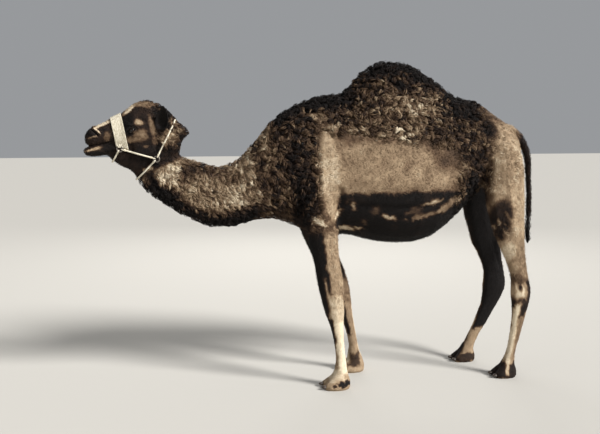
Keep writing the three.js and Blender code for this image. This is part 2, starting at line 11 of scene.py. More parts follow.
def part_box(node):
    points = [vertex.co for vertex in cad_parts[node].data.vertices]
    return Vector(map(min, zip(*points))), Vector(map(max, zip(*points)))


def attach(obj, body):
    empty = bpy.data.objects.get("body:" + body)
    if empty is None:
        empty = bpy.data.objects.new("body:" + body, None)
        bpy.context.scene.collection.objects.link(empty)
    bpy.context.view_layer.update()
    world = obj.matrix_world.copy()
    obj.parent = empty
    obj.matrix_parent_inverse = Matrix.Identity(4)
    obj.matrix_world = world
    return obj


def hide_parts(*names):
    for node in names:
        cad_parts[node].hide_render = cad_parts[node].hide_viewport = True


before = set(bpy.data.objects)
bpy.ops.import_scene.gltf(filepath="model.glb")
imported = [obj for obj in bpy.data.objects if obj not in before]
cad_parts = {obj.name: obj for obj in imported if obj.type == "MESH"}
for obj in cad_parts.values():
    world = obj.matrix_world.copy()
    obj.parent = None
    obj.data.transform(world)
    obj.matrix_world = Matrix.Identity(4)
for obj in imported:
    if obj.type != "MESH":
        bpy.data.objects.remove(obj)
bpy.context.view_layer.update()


# ------------------------------------------------------------------ studio
# A pale floor under a plain pale sky. A broad soft distant light stands high on the right, with a weaker
# one on the left and one behind. The camera is at eye height, five metres away on the animal's left side.

CAMERA_AT = (-1.3255, -5.095, 1.66)
CAMERA_PITCH = math.radians(90 - 6.33)
CAMERA_TURN = math.radians(-13)
LENS_MM = 49.2
FLOOR_SIZE = 80
FLOOR_COLOUR = "#bab6ae"
SKY_COLOUR = "#dfe2e6"
SKY_STRENGTH = 0.42
LIGHTS = [
    # name, kind, place, size (the first one's is an angle), strength, aim
    ("key light", "SUN", (5.0, -4.6, 5.6), math.radians(16), 5.8, (0.1, 0, 1.1)),
    ("fill light", "AREA", (-6.0, -5.0, 3.2), 5.0, 70, (-0.4, 0, 1.1)),
    ("rim light", "AREA", (1.5, 6.0, 4.5), 4.0, 160, (0.0, 0, 1.3)),
]


def colour(text):
    """A hex sRGB colour as linear red, green, blue and alpha."""
    parts = [int(text[i:i + 2], 16) / 255 for i in (1, 3, 5)]
    return tuple(c / 12.92 if c <= 0.04045 else ((c + 0.055) / 1.055) ** 2.4 for c in parts) + (1.0,)


def new_material(name):
    """A material that ends in a principled shader. Gives the material, its node tree and the shader."""
    material = bpy.data.materials.new(name)
    material.use_nodes = True
    return material, material.node_tree, material.node_tree.nodes["Principled BSDF"]


def add(tree, kind, settings=None, links=None):
    """Adds a node of this kind, sets its properties and sockets, and links sockets to other outputs. A
    colour ramp's stops are pairs of place and hex colour."""
    node = tree.nodes.new(kind)
    for key, value in (settings or {}).items():
        if key == "stops":
            elements = node.color_ramp.elements
            while len(elements) < len(value):
                elements.new(0.5)
            for element, (place, text) in zip(elements, value):
                element.position = place
                element.color = colour(text)
        elif hasattr(node, str(key)):
            setattr(node, key, value)
        else:
            node.inputs[key].default_value = value
    for key, source in (links or {}).items():
        tree.links.new(source, node.inputs[key])
    return node


def shown(name, mesh):
    """An object for a mesh, in the scene."""
    piece = bpy.data.objects.new(name, mesh)
    bpy.context.scene.collection.objects.link(piece)
    return piece


scene = bpy.context.scene
scene.view_settings.view_transform = "Standard"

half = FLOOR_SIZE / 2
ground = bpy.data.meshes.new("floor")
ground.from_pydata([(-half, -half, 0), (half, -half, 0), (half, half, 0), (-half, half, 0)], [], [(0, 1, 2, 3)])
floor = shown("floor", ground)
# Matt floor paint: pale and even, so that it takes soft shadows without a gloss.
floor_paint, tree, shader = new_material("matt studio floor paint")
shader.inputs["Base Color"].default_value = colour(FLOOR_COLOUR)
shader.inputs["Roughness"].default_value = 0.9
ground.materials.append(floor_paint)

world = bpy.data.worlds.new("studio")
world.use_nodes = True
world.node_tree.nodes["Background"].inputs["Color"].default_value = colour(SKY_COLOUR)
world.node_tree.nodes["Background"].inputs["Strength"].default_value = SKY_STRENGTH
scene.world = world

for name, kind, place, size, strength, aim in LIGHTS:
    lamp = bpy.data.lights.new(name, kind)
    if kind == "SUN":
        lamp.angle = size
    else:
        lamp.size = size
    lamp.energy = strength
    holder = shown(name, lamp)
    holder.location = place
    holder.rotation_euler = (Vector(aim) - Vector(place)).to_track_quat("-Z", "Y").to_euler()

camera = bpy.data.cameras.new("camera")
camera.sensor_width = 36
camera.lens = LENS_MM
viewer = shown("camera", camera)
viewer.location = CAMERA_AT
viewer.rotation_euler = (CAMERA_PITCH, 0, CAMERA_TURN)
scene.camera = viewer


# ------------------------------------------------------------------ hide
# The hide is one closed skin over head, ears, neck, trunk, legs and tail. It lies under the tips of
# the coat by the coat's depth. Places are in millimetres from the middle of the four feet: X towards
# the tail, Y to the animal's right, Z up.

STANCE_X = 656.5  # from the middle of the feet to the frame's origin, along X
MESH_SIZE = 0.0052
HEAD_END = -1560  # the head and upper neck, which keep their fine mesh, lie before this
TOES_BELOW = 62  # the toes, which keep it too, lie below this
LEG_TOP = 520  # the lower legs lie under this
GROUPS = ["head", "ear", "neck", "trunk", "hump", "upper_leg", "shank", "foot", "tail", "tuft"]
NOT_FLESH = ("nail", "eye", "strap", "band", "ring")
SIDES = (-1, 1)  # left and right
SAME_PLACE = 1e-5  # metres; corners closer than this are one
SWELL = 0.0006  # metres; more than half the gap between two nodes
SOCKET_RADIUS = 0.022  # metres


def group_of(node):
    """The group that a CAD node's flesh belongs to."""
    if node.startswith(("forearm", "thigh")):
        return "upper_leg"
    if node == "tail_tuft":
        return "tuft"
    return next(group for group in GROUPS if group in node)


def to_frame(places):
    """Millimetres from the middle of the feet, as metres in the frame."""
    return (np.asarray(places, float) + [STANCE_X, 0, 0]) / 1000


def to_stance(places):
    """Metres in the frame, as millimetres from the middle of the feet."""
    return np.asarray(places, float) * 1000 - [STANCE_X, 0, 0]


def unit(vectors):
    """The same directions, with a length of one."""
    vectors = np.asarray(vectors, float)
    return vectors / np.maximum(np.linalg.norm(vectors, axis=-1), 1e-9)[..., None]


def smooth(low, high, value):
    """0 at low, 1 at high, and a smooth rise between."""
    t = np.clip((value - low) / (high - low), 0, 1)
    return t * t * (3 - 2 * t)


def hill(value, middle, spread):
    """1 at the middle, falling to 0 beyond about twice the spread."""
    return np.exp(-((value - middle) / spread) ** 2)


def read(items, name, width, kind=np.float32):
    """One property of all a mesh's items, as an array."""
    flat = np.zeros(len(items) * width, kind)
    items.foreach_get(name, flat)
    return flat.reshape(-1, width).astype(float if kind == np.float32 else int)


def relaxed(values, edges, rounds):
    """Values at a mesh's vertices, each drawn halfway to the mean of its neighbours, round after round."""
    values = np.array(values, float)
    count = np.maximum(np.bincount(edges.ravel(), minlength=len(values)), 1)
    for _ in range(rounds):
        for k in range(values.shape[1]):
            near = np.bincount(edges[:, 0], values[edges[:, 1], k], len(values))
            near += np.bincount(edges[:, 1], values[edges[:, 0], k], len(values))
            values[:, k] += 0.5 * (near / count - values[:, k])
    return values


def patchy(places, size, seed):
    """Smooth random values from -1 to 1 over space, that change over this many millimetres."""
    table = np.random.default_rng(seed).random((24, 24, 24)) * 2 - 1
    q = places / size + 500
    cell = np.floor(q).astype(int)
    f = q - cell
    f = f * f * (3 - 2 * f)
    total = 0
    for corner in range(8):
        bits = [(corner >> k) & 1 for k in range(3)]
        share = np.prod([f[:, k] if bits[k] else 1 - f[:, k] for k in range(3)], axis=0)
        i, j, k = ((cell[:, k] + bits[k]) % 24 for k in range(3))
        total = total + share * table[i, j, k]
    return total


def oval(middle, radii, slant=0, edge=0.35, ragged=0.2):
    """1 inside a slanted oval drawn on the animal's side (x, z), 0 outside, with a ragged soft edge."""
    turn = math.radians(slant)
    dx, dz = X - middle[0], Z - middle[1]
    d = np.hypot((dx * math.cos(turn) + dz * math.sin(turn)) / radii[0],
                 (dz * math.cos(turn) - dx * math.sin(turn)) / radii[1])
    rag = min(radii) * 0.5
    d = d + ragged * patchy(stance, max(rag, 18), 11) + 0.6 * ragged * patchy(stance, max(rag / 2, 9), 12)
    return 1 - smooth(1 - edge, 1 + edge, d)


def far_from(places, line):
    """How far places are from a line through some points, in two or three dimensions."""
    line = np.asarray(line, float)
    best = np.full(len(places), np.inf)
    for a, b in zip(line[:-1], line[1:]):
        t = np.clip(((places - a) @ (b - a)) / ((b - a) @ (b - a)), 0, 1)
        best = np.minimum(best, np.linalg.norm(places - a - t[:, None] * (b - a), axis=1))
    return best


def applied(piece):
    """Puts the piece's modifiers into its mesh."""
    made = bpy.data.meshes.new_from_object(piece.evaluated_get(bpy.context.evaluated_depsgraph_get()))
    piece.modifiers.clear()
    piece.data = made


def joined_flesh():
    """The flesh nodes in one mesh, each swollen by more than half the gap to the next, with full eye sockets."""
    whole = bmesh.new()
    for name in flesh_nodes:
        part = bmesh.new()
        part.from_mesh(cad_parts[name].data)
        bmesh.ops.remove_doubles(part, verts=part.verts, dist=SAME_PLACE)
        part.normal_update()
        for vert in part.verts:
            vert.co += vert.normal * SWELL
        swollen = bpy.data.meshes.new("part")
        part.to_mesh(swollen)
        part.free()
        whole.from_mesh(swollen)
        bpy.data.meshes.remove(swollen)
    for side in SIDES:
        socket = Matrix.Translation(to_frame((EYE_AT[0], side * (EYE_AT[1] - 2), EYE_AT[2])))
        bmesh.ops.create_icosphere(whole, subdivisions=3, radius=SOCKET_RADIUS, matrix=socket)
    mesh = bpy.data.meshes.new("hide")
    whole.to_mesh(mesh)
    whole.free()
    return shown("hide", mesh)


def refined(mesh, line, reach):
    """Splits the faces within reach of a line of points, and evens them out."""
    part = bmesh.new()
    part.from_mesh(mesh)
    part.verts.ensure_lookup_table()
    near = far_from(to_stance(read(mesh.vertices, "co", 3)), line) < reach
    edges = [e for e in part.edges if near[e.verts[0].index] or near[e.verts[1].index]]
    bmesh.ops.subdivide_edges(part, edges=edges, cuts=1, use_grid_fill=True)
    part.verts.ensure_lookup_table()
    places = to_stance(np.array([v.co for v in part.verts]))
    close = far_from(places, line) < reach
    for _ in range(2):
        bmesh.ops.smooth_vert(part, verts=[part.verts[i] for i in np.flatnonzero(close)], factor=0.4,
                              use_axis_x=True, use_axis_y=True, use_axis_z=True)
    part.to_mesh(mesh)
    part.free()


EYE_AT = (-1849, 71, 1634)  # middle of the right eyeball; the left one mirrors it
EYE_RADIUS = 21
flesh_nodes = sorted(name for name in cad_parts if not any(word in name for word in NOT_FLESH))
hide = joined_flesh()
remesh = hide.modifiers.new("even mesh", "REMESH")
remesh.mode = "VOXEL"
remesh.voxel_size = MESH_SIZE
soften = hide.modifiers.new("soften", "SMOOTH")
soften.factor = 0.5
soften.iterations = 14
applied(hide)

# The trunk and upper legs take a coarser mesh than the head and feet.
stance = to_stance(read(hide.data.vertices, "co", 3))
coarse = (stance[:, 0] > HEAD_END) & (stance[:, 2] > TOES_BELOW)
hide.vertex_groups.new(name="coarse").add(np.flatnonzero(coarse).tolist(), 1.0, "REPLACE")
# Small bumps make the thinning take faces evenly from flat places and round ones. They are then smoothed out.
bumps = patchy(stance, 2200 * MESH_SIZE, 1) * np.where(stance[:, 2] < LEG_TOP, 380, 220) * MESH_SIZE
bumpy = stance + read(hide.data.vertices, "normal", 3) * (bumps * coarse)[:, None]
hide.data.vertices.foreach_set("co", to_frame(bumpy).astype(np.float32).ravel())
thin_out = hide.modifiers.new("thin out", "DECIMATE")
thin_out.ratio = 0.2
thin_out.vertex_group = "coarse"
flatten = hide.modifiers.new("flatten", "SMOOTH")
flatten.factor = 0.5
flatten.iterations = 6
flatten.vertex_group = "coarse"
applied(hide)

# The eyes, nostrils and mouth take a finer one.
MOUTH = [(-2128, 1541), (-2090, 1544), (-2040, 1552), (-1990, 1564), (-1950, 1574)]
NOSTRIL = [(-2092, 1641), (-2070, 1624), (-2050, 1603)]
for side in SIDES:
    eye_line = [(EYE_AT[0] - 25, side * 82, EYE_AT[2]), (EYE_AT[0] + 25, side * 82, EYE_AT[2])]
    for reach in (34, 26):
        refined(hide.data, eye_line, reach)
    refined(hide.data, [(x, side * 44, z) for x, z in NOSTRIL], 26)
    refined(hide.data, [(x, side * (38 if x > -2100 else 20), z) for x, z in MOUTH], 18)

stance = to_stance(read(hide.data.vertices, "co", 3))
surface = read(hide.data.vertices, "normal", 3)
edges = read(hide.data.edges, "vertices", 2, np.int32)
X, Y, Z = stance.T
FLANK = np.stack([X, Z], 1)
sideways = np.abs(surface[:, 1])
inward = smooth(0.15, 0.7, -surface[:, 1] * np.sign(Y))  # faces the animal's own middle

# Each vertex belongs to the groups of the nodes near it, with soft borders.
corners, triangles, owner = [], [], []
for name in flesh_nodes:
    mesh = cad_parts[name].data
    mesh.calc_loop_triangles()
    start = len(corners)
    corners.extend(to_stance(v.co) for v in mesh.vertices)
    triangles.extend([start + i for i in t.vertices] for t in mesh.loop_triangles)
    owner.extend([GROUPS.index(group_of(name))] * len(mesh.loop_triangles))
solids = BVHTree.FromPolygons([c.tolist() for c in corners], triangles)
nearest = [solids.find_nearest(p)[2] for p in stance.tolist()]
weights = relaxed(np.eye(len(GROUPS))[np.array(owner)[nearest]], edges, 8)
zone = {group: weights[:, i] for i, group in enumerate(GROUPS)}


def by_group(**values):
    """A value at each vertex from one value for each group."""
    return sum(zone[group] * value for group, value in values.items())


# Where the coat is long and curly (1) and where it is short and flat (0).
body = zone["trunk"] + zone["hump"] + zone["neck"]
flank_top = smooth(1610, 1540, Z + 0.1 * (X + 250) + 30 * patchy(stance, 70, 3))
flank = flank_top * smooth(-745, -715, X) * smooth(240, 100, X)
wool = by_group(head=0.1, neck=0.7, trunk=1, hump=1, upper_leg=0.1, tail=0.3, tuft=1)
wool = wool * (1 - 0.92 * flank * zone["trunk"])
# shorter on rump and belly
wool = wool * (1 - 0.75 * smooth(330, 480, X) * body)
wool = wool * (1 - 0.5 * smooth(1180, 1060, Z) * zone["trunk"])
# longer on nape, crown and throat
wool = np.maximum(wool, 0.75 * smooth(-1745, -1690, X) * smooth(1440, 1560, Z) * zone["head"])
wool = np.maximum(wool, 0.3 * smooth(-1850, -1780, X) * smooth(1690, 1760, Z) * zone["head"])
wool = np.maximum(wool, 0.4 * smooth(-1850, -1790, X) * smooth(1520, 1450, Z) * zone["head"])
# tufts at the elbows and on the outside of the thighs
wool = np.maximum(wool, 0.6 * hill(X, -760, 70) * hill(Z, 1060, 50) * (zone["trunk"] + zone["upper_leg"]))
wool = np.maximum(wool, 0.5 * hill(X, 500, 70) * hill(Z, 1010, 110) * (1 - inward) * zone["upper_leg"])

# The skin lies under the coat's tips.
short = by_group(head=3.5, ear=0.8, neck=7, trunk=6, hump=8, upper_leg=5, shank=3, foot=1.5, tail=6, tuft=14)
depth = short + wool * by_group(head=11, neck=13, trunk=15, hump=17, upper_leg=11, tail=5, tuft=8)
skin = stance - surface * depth[:, None]

# Grooves and folds as lines on the side (x, z), with their width and depth; a negative depth is a ridge.
FOLDS = [
    # behind the upper foreleg
    ([(-612, 1270), (-600, 1180), (-604, 1100), (-625, 1035)], 20, 13),
    # between belly and thigh
    ([(400, 1400), (360, 1310), (300, 1220), (245, 1130), (225, 1060)], 45, 24),
    # under the flank
    ([(-570, 1172), (-300, 1150), (-60, 1150), (110, 1180), (200, 1225)], 15, 8),
    ([(-20, 1085), (90, 1100), (180, 1150)], 12, 6),
    # in front of the shoulder and under the withers
    ([(-1010, 1560), (-970, 1400), (-930, 1260), (-900, 1150)], 40, 9),
    ([(-690, 1690), (-740, 1560), (-770, 1440)], 30, 6),
    # thigh muscles
    ([(560, 1330), (575, 1180), (590, 1040)], 26, 5),
    ([(470, 1120), (520, 1020), (560, 930)], 16, 5),
]
LEG_FOLDS = [
    # front or hind, side, line, width, depth
    ("fore", -1, [(-660, 900), (-650, 760), (-640, 640)], 16, 5),
    ("fore", -1, [(-604, 520), (-578, 400), (-566, 250)], 8, 5),
    ("fore", -1, [(-690, 600), (-640, 588), (-575, 600)], 9, -3),
    ("fore", -1, [(-680, 530), (-630, 522), (-580, 530)], 10, 4),
    ("fore", 1, [(-600, 900), (-560, 760), (-520, 650)], 16, 5),
    ("fore", 1, [(-460, 510), (-420, 400), (-388, 260)], 8, 5),
    ("fore", 1, [(-540, 530), (-500, 522), (-440, 530)], 10, 4),
    ("hind", -1, [(640, 850), (668, 760), (690, 680)], 13, 9),
    ("hind", -1, [(672, 520), (640, 380), (612, 230)], 8, 5),
    ("hind", -1, [(610, 640), (650, 622), (700, 640)], 9, 4),
    ("hind", 1, [(625, 850), (655, 760), (690, 670)], 13, 9),
    ("hind", 1, [(660, 500), (590, 360), (520, 230)], 8, 5),
]
SOLE_HEIGHT = 4  # the soles are pressed flat below this
sink = np.zeros(len(skin))
trunk_side = sideways * (zone["trunk"] + zone["neck"] + zone["upper_leg"]) * smooth(80, 140, np.abs(Y)) * (1 - inward)
for line, width, deep in FOLDS:
    sink += deep * hill(far_from(FLANK, line), 0, width) * trunk_side
for kind, side, line, width, deep in LEG_FOLDS:
    own = smooth(60, 90, Y * side) * (X < 0 if kind == "fore" else X > 0) * sideways
    sink += deep * hill(far_from(FLANK, line), 0, width) * own * (zone["upper_leg"] + zone["shank"])

# The cleft between the two toes of each foot.
TOE_CLEFTS = [(-712, -185), (-512, 160), (452, -200), (342, 212)]  # front end, and the foot's middle
CLEFT_DEPTH, CLEFT_WIDTH, CLEFT_REACH = 13, 7, 78
for toe, middle in TOE_CLEFTS:
    near = (np.abs(X - toe) < 140) & (np.abs(Y - middle) < 40) & (Z < 110)
    share = smooth(toe + CLEFT_REACH, toe + 25, X) * smooth(95, 55, Z)
    sink += CLEFT_DEPTH * hill(Y - middle, 0, CLEFT_WIDTH) * share * near

# Folds on the face. Each line is laid on the skin from the side.
FACE_FOLDS = [
    (MOUTH, 3.2, 7),
    ([(x, z + 8) for x, z in MOUTH[:4]], 4.5, -2),
    ([(x + 4, z - 10) for x, z in MOUTH[:4]], 6, -2.5),
    (NOSTRIL, 4, 13),
    ([(-2080, 1654), (-2058, 1637), (-2036, 1612)], 6, -3.5),
    ([(-2104, 1626), (-2084, 1606), (-2062, 1590)], 5, -2.5),
    ([(-2110, 1588), (-2080, 1586), (-2048, 1580)], 4, 2.5),
    ([(-2022, 1640), (-2010, 1610), (-2012, 1585)], 6, 2.5),
    ([(-1942, 1600), (-1932, 1576), (-1944, 1552)], 4, 2.2),
    ([(-1928, 1604), (-1914, 1574), (-1926, 1546)], 4, 1.6),
    ([(-1880, 1612), (-1940, 1604), (-2000, 1602)], 10, -2.5),
    ([(-1905, 1668), (-1945, 1662), (-1985, 1655)], 15, 4),
    ([(-1812, 1704), (-1775, 1690)], 20, 6),
    ([(-1835, 1603), (-1790, 1600), (-1740, 1606)], 9, -2.5),
    ([(-1858, 1556), (-1850, 1515), (-1860, 1470)], 9, 3.5),
    ([(-1712, 1560), (-1702, 1490), (-1735, 1410)], 10, 4),
    ([(-2112, 1492), (-2070, 1488), (-2020, 1492)], 8, 2),
]
corner_lists = [list(p.vertices) for p in hide.data.polygons]
skin_tree = BVHTree.FromPolygons(skin.tolist(), corner_lists)


def laid_on(tree, x, z, side):
    """The place on a surface straight in from the animal's side."""
    hit = tree.ray_cast((x, side * 1000, z), (0, -side, 0))[0]
    return np.array(hit) if hit else np.array((x, 0.0, z))


head_part = np.flatnonzero(zone["head"] > 0.3)
mouth_far = np.full(len(skin), 100.0)
nostril_far = np.full(len(skin), 100.0)
for side in SIDES:
    for line, width, deep in FACE_FOLDS:
        points = [laid_on(skin_tree, x, z, side) for x, z in line]
        if line[0][0] < -2115:
            points.insert(0, np.array((line[0][0] - 8, 0.0, line[0][1])))
        away = far_from(skin[head_part], points)
        sink[head_part] += deep * hill(away, 0, width)
        if line is MOUTH:
            mouth_far[head_part] = np.minimum(mouth_far[head_part], away)
        if line is NOSTRIL:
            nostril_far[head_part] = np.minimum(nostril_far[head_part], away)
lip_cleft = far_from(skin[head_part], [(-2145, 0, 1552), (-2138, 0, 1590), (-2128, 0, 1622)])
sink[head_part] += 5 * hill(lip_cleft, 0, 4)
skin -= surface * sink[:, None]
skin[:, 2] = np.where(skin[:, 2] < SOLE_HEIGHT, 0, skin[:, 2])

# The lids: a shallow dome over each eyeball with an almond opening, a thick rim, and folds round it.
OPENING_LENGTH, OPENING_UP, OPENING_DOWN = 20, 12, 9.5  # from the middle of the opening
LID_THICKNESS = 3
LID_FOLDS = [
    # rise, distance from the opening's edge, width, and the heights over the eye's middle between which it lies
    (-1.5, 6, 1.5, -4, 99),
    (-2.2, 13, 4, -99, 99),
    (1.8, 21, 5, 0, 99),
    (-1.0, 9.5, 2, -99, 0),
    (-0.8, 27, 2.5, 0, 99),
]
lid_far = np.full(len(skin), 100.0)


def eye_axes(side):
    """Directions of an eye: to its front corner, up along the opening, and out."""
    outward = unit((-0.25, side, -0.02))
    front = np.array((-math.cos(math.radians(14)), 0, -math.sin(math.radians(14))))
    front = unit(front - outward * (front @ outward))
    up = np.cross(front, outward) * side
    return front, up if up[2] > 0 else -up, outward


def past_opening(u, v):
    """How far a place is outside the almond opening, measured from its edge away from the middle."""
    high = np.where(v > 0, OPENING_UP, OPENING_DOWN)
    share = (np.abs(u / OPENING_LENGTH) ** 1.6 + np.abs(v / high) ** 1.6) ** (1 / 1.6) + 1e-6
    return np.hypot(u, v) * (1 - 1 / share)


for side in SIDES:
    middle = np.array((EYE_AT[0], side * EYE_AT[1], EYE_AT[2]))
    front, up, outward = eye_axes(side)
    near = np.flatnonzero(np.linalg.norm(skin - middle, axis=1) < 60)
    u, v, w = ((skin[near] - middle) @ axis for axis in (front, up, outward))
    near, u, v, w = (a[w > -6] for a in (near, u, v, w))
    off = past_opening(u, v)
    across = np.hypot(u, v)
    dome = np.sqrt(np.maximum((EYE_RADIUS + LID_THICKNESS) ** 2 - across ** 2, 0))
    lid = np.where(dome > w - 2, dome, w)
    lid = w + (lid - w) * (1 - smooth(9, 20, off))
    for rise, place, spread, low, high in LID_FOLDS:
        lid = lid + rise * hill(off, place, spread) * ((v > low) & (v < high))
    lid = lid - 1.4 * np.clip(1 - off / 2.4, 0, 1) ** 2
    inside = np.sqrt(np.maximum((EYE_RADIUS - 4) ** 2 - across ** 2, 0))
    lid = np.where(off < 0, lid + (np.minimum(inside, lid) - lid) * smooth(-0.2, -1.6, off), lid)
    skin[near] += outward * (lid - w)[:, None]
    lid_far[near] = np.minimum(lid_far[near], np.abs(off) + 20 * (off < -2))

hide.data.vertices.foreach_set("co", to_frame(skin).astype(np.float32).ravel())
hide.data.polygons.foreach_set("use_smooth", np.ones(len(hide.data.polygons), bool))
hide.data.update()

# How light the coat is, from 0, near black, to 1, cream. Each row gives the groups, the middle (x, z),
# the radii and slant of a patch, its lightness and its strength. Most rows are the coat's markings; the rows
# marked below paint shade or highlights into it.
PATCHES = [
    ("trunk hump", (-280, 1400), (500, 200), 0, 0.68, 0.9),
    ("trunk hump", (-420, 1690), (480, 110), 0, 0.52, 0.7),
    ("trunk hump", (120, 1560), (170, 190), 30, 0.30, 0.7),
    ("trunk", (-850, 1330), (75, 330), 8, 0.03, 0.8),
    ("trunk", (-680, 1430), (66, 250), 0, 0.82, 0.9),
    ("trunk", (-645, 1180), (50, 110), 0, 0.80, 0.8),
    # painted shade: the deep fold between belly and thigh, black
    ("trunk upper_leg", (295, 1120), (105, 350), -8, 0.0, 1),
    ("trunk upper_leg", (590, 1350), (200, 430), 0, 0.76, 0.95),
    ("trunk", (560, 1640), (170, 40), -25, 0.72, 0.6),
    ("trunk", (400, 1650), (70, 60), -30, 0.08, 0.8),
    ("trunk hump", (-100, 1800), (190, 70), 0, 0.75, 0.7),
    ("trunk", (-1010, 1800), (330, 50), 25, 0.0, 0.9),
    ("hump", (-310, 2060), (360, 45), 0, 0.0, 0.9),
    ("trunk hump", (230, 1790), (110, 70), -30, 0.0, 0.95),
    ("neck", (-1610, 1180), (60, 120), 35, 0.03, 0.9),
    ("neck", (-1710, 1270), (70, 120), 20, 0.03, 0.9),
    ("neck", (-1655, 1370), (72, 66), 0, 0.85, 0.95),
    ("neck", (-1545, 1370), (40, 60), 0, 0.15, 0.7),
    ("neck", (-1420, 1400), (120, 30), -10, 0.12, 0.7),
    ("neck", (-1090, 1400), (40, 200), 8, 0.20, 0.7),
    # head
    # painted highlight along the bridge of the nose
    ("head", (-2020, 1676), (56, 13), 25, 0.95, 0.95),
    ("head", (-2095, 1620), (38, 30), 0, 0.03, 0.9),
    ("head", (-2020, 1632), (22, 20), 0, 0.03, 0.9),
    # painted highlight on the ridge over the nostril
    ("head", (-2056, 1636), (34, 5), -45, 0.92, 0.95),
    ("head", (-2078, 1597), (40, 5), 16, 0.75, 0.85),
    ("head", (-1998, 1600), (20, 30), 0, 0.62, 0.8),
    ("head", (-2095, 1560), (36, 18), 0, 0.15, 0.8),
    ("head", (-2078, 1524), (60, 9), 15, 0.80, 0.9),
    ("head", (-2060, 1497), (60, 12), 0, 0.03, 0.9),
    ("head", (-1995, 1530), (40, 30), 0, 0.03, 0.9),
    # painted shade in the hollow in front of the eye
    ("head", (-1885, 1680), (40, 55), 0, 0.0, 0.95),
    # painted highlight along the top edge of the forehead
    ("head", (-1866, 1763), (66, 12), 44, 0.95, 0.95),
    # painted highlight on the brow over the eye
    ("head", (-1812, 1683), (28, 18), -20, 0.80, 0.9),
    ("head", (-1780, 1795), (80, 20), 0, 0.60, 0.8),
    # painted shade round the eye, under its brow
    ("head", (-1858, 1630), (44, 28), 0, 0.0, 0.95),
    # painted light on the cheekbone
    ("head", (-1806, 1600), (46, 40), 30, 0.66, 0.85),
    ("head", (-1868, 1576), (50, 18), 0, 0.62, 0.8),
    # pale hairs and a painted highlight on the lit front rim of the ear
    ("head", (-1735, 1655), (15, 70), 12, 0.62, 0.85),
    # painted shade round the ear's base, as dark as the ear's shaded hollow
    ("head", (-1665, 1712), (50, 58), 0, 0.0, 0.9),
    ("head", (-1760, 1490), (100, 80), 0, 0.03, 0.8),
    ("head", (-1775, 1538), (16, 9), 0, 0.60, 0.8),
    ("head", (-1722, 1570), (15, 24), 0, 0.55, 0.7),
    ("head", (-1640, 1590), (60, 50), 30, 0.8, 0.85),
    ("head", (-1590, 1660), (60, 22), -35, 0.75, 0.75),
    ("head", (-1765, 1402), (34, 14), 25, 0.88, 0.85),
    ("head", (-1530, 1600), (50, 18), 0, 0.03, 0.9),
    # thighs
    ("upper_leg", (470, 1050), (75, 140), -12, 0.05, 0.85),
    ("upper_leg", (545, 845), (48, 68), 0, 0.90, 0.9),
    ("upper_leg", (590, 735), (40, 60), 0, 0.70, 0.7),
    ("upper_leg", (600, 655), (60, 36), 0, 0.30, 0.7),
]
# Creases and tufts with ragged edges, most of them pale on the black of belly, elbows, thighs and feet. The
# pale ones are partly pale tufts and partly painted highlights where folds and pads catch the light.
CREASES = [
    ("trunk", (130, 1165), (120, 28), 30, 0.70, 0.9),
    ("trunk", (-5, 1182), (90, 14), 13, 0.85, 0.9),
    ("trunk", (-60, 1094), (110, 16), 13, 0.75, 0.8),
    ("trunk", (-130, 1125), (60, 22), 13, 0.55, 0.7),
    ("trunk", (-290, 1088), (40, 14), -10, 0.95, 1),
    ("trunk", (-382, 1128), (30, 26), 0, 0.50, 0.7),
    ("trunk", (-440, 1060), (12, 40), 35, 0.45, 0.7),
    ("trunk", (-524, 1168), (11, 42), 8, 0.90, 0.9),
    ("trunk", (-560, 1205), (10, 40), 0, 0.50, 0.8),
    ("trunk upper_leg", (-748, 1076), (58, 20), -22, 0.95, 1),
    ("trunk upper_leg", (-612, 1110), (14, 42), -35, 0.95, 1),
    ("trunk upper_leg", (-545, 1018), (92, 15), -7, 0.95, 1),
    ("foot", (-572, 42), (46, 17), 0, 0.03, 1),
    ("foot", (-640, 30), (16, 9), 0, 0.10, 0.8),
    ("upper_leg", (465, 1038), (24, 11), -40, 0.95, 1),
    ("upper_leg", (425, 1008), (32, 8), -15, 0.70, 0.9),
    ("upper_leg", (505, 985), (34, 8), -52, 0.75, 0.9),
    ("upper_leg", (440, 962), (28, 8), -25, 0.50, 0.9),
    ("upper_leg", (520, 1085), (30, 8), -60, 0.60, 0.9),
]
BELLY_TOP = 1243
# The ear is painted near black: painted shade for its shadowed hollow.
tone = by_group(head=0.17, ear=0.02, neck=0.64, trunk=0.36, hump=0.36, upper_leg=0.6, shank=0.7, foot=0.7,
                tail=0.15, tuft=0.03)


def mark(rows, ragged):
    """Lightens or darkens the coat in patches."""
    for groups, middle, radii, slant, light, strength in rows:
        share = sum(zone[group] for group in groups.split()) * strength * oval(middle, radii, slant, 0.35, ragged)
        np.add(tone, (light - tone) * share, out=tone)


mark(PATCHES, 0.2)
# The belly below BELLY_TOP is painted near black: partly its own dark hair, partly painted shade under the body.
edge = Z + 14 * patchy(stance, 40, 13) + 8 * patchy(stance, 16, 14)
belly = smooth(BELLY_TOP + 10, BELLY_TOP - 10, edge) * smooth(-625, -598, X) * smooth(250, 180, X)
tone -= tone * belly * zone["trunk"]
spine = smooth(0.42, 0.75, surface[:, 2] + 0.12 * patchy(stance, 30, 15)) * smooth(390, 320, X) * (Z > 1500)
tone -= tone * spine * (zone["trunk"] + zone["hump"])
mark(CREASES, 0.5)
# Painted shade: the underside of the neck, where it faces down, is darkened to near black.
tone += (0.02 - tone) * smooth(-0.2, -0.5, surface[:, 2]) * zone["neck"]
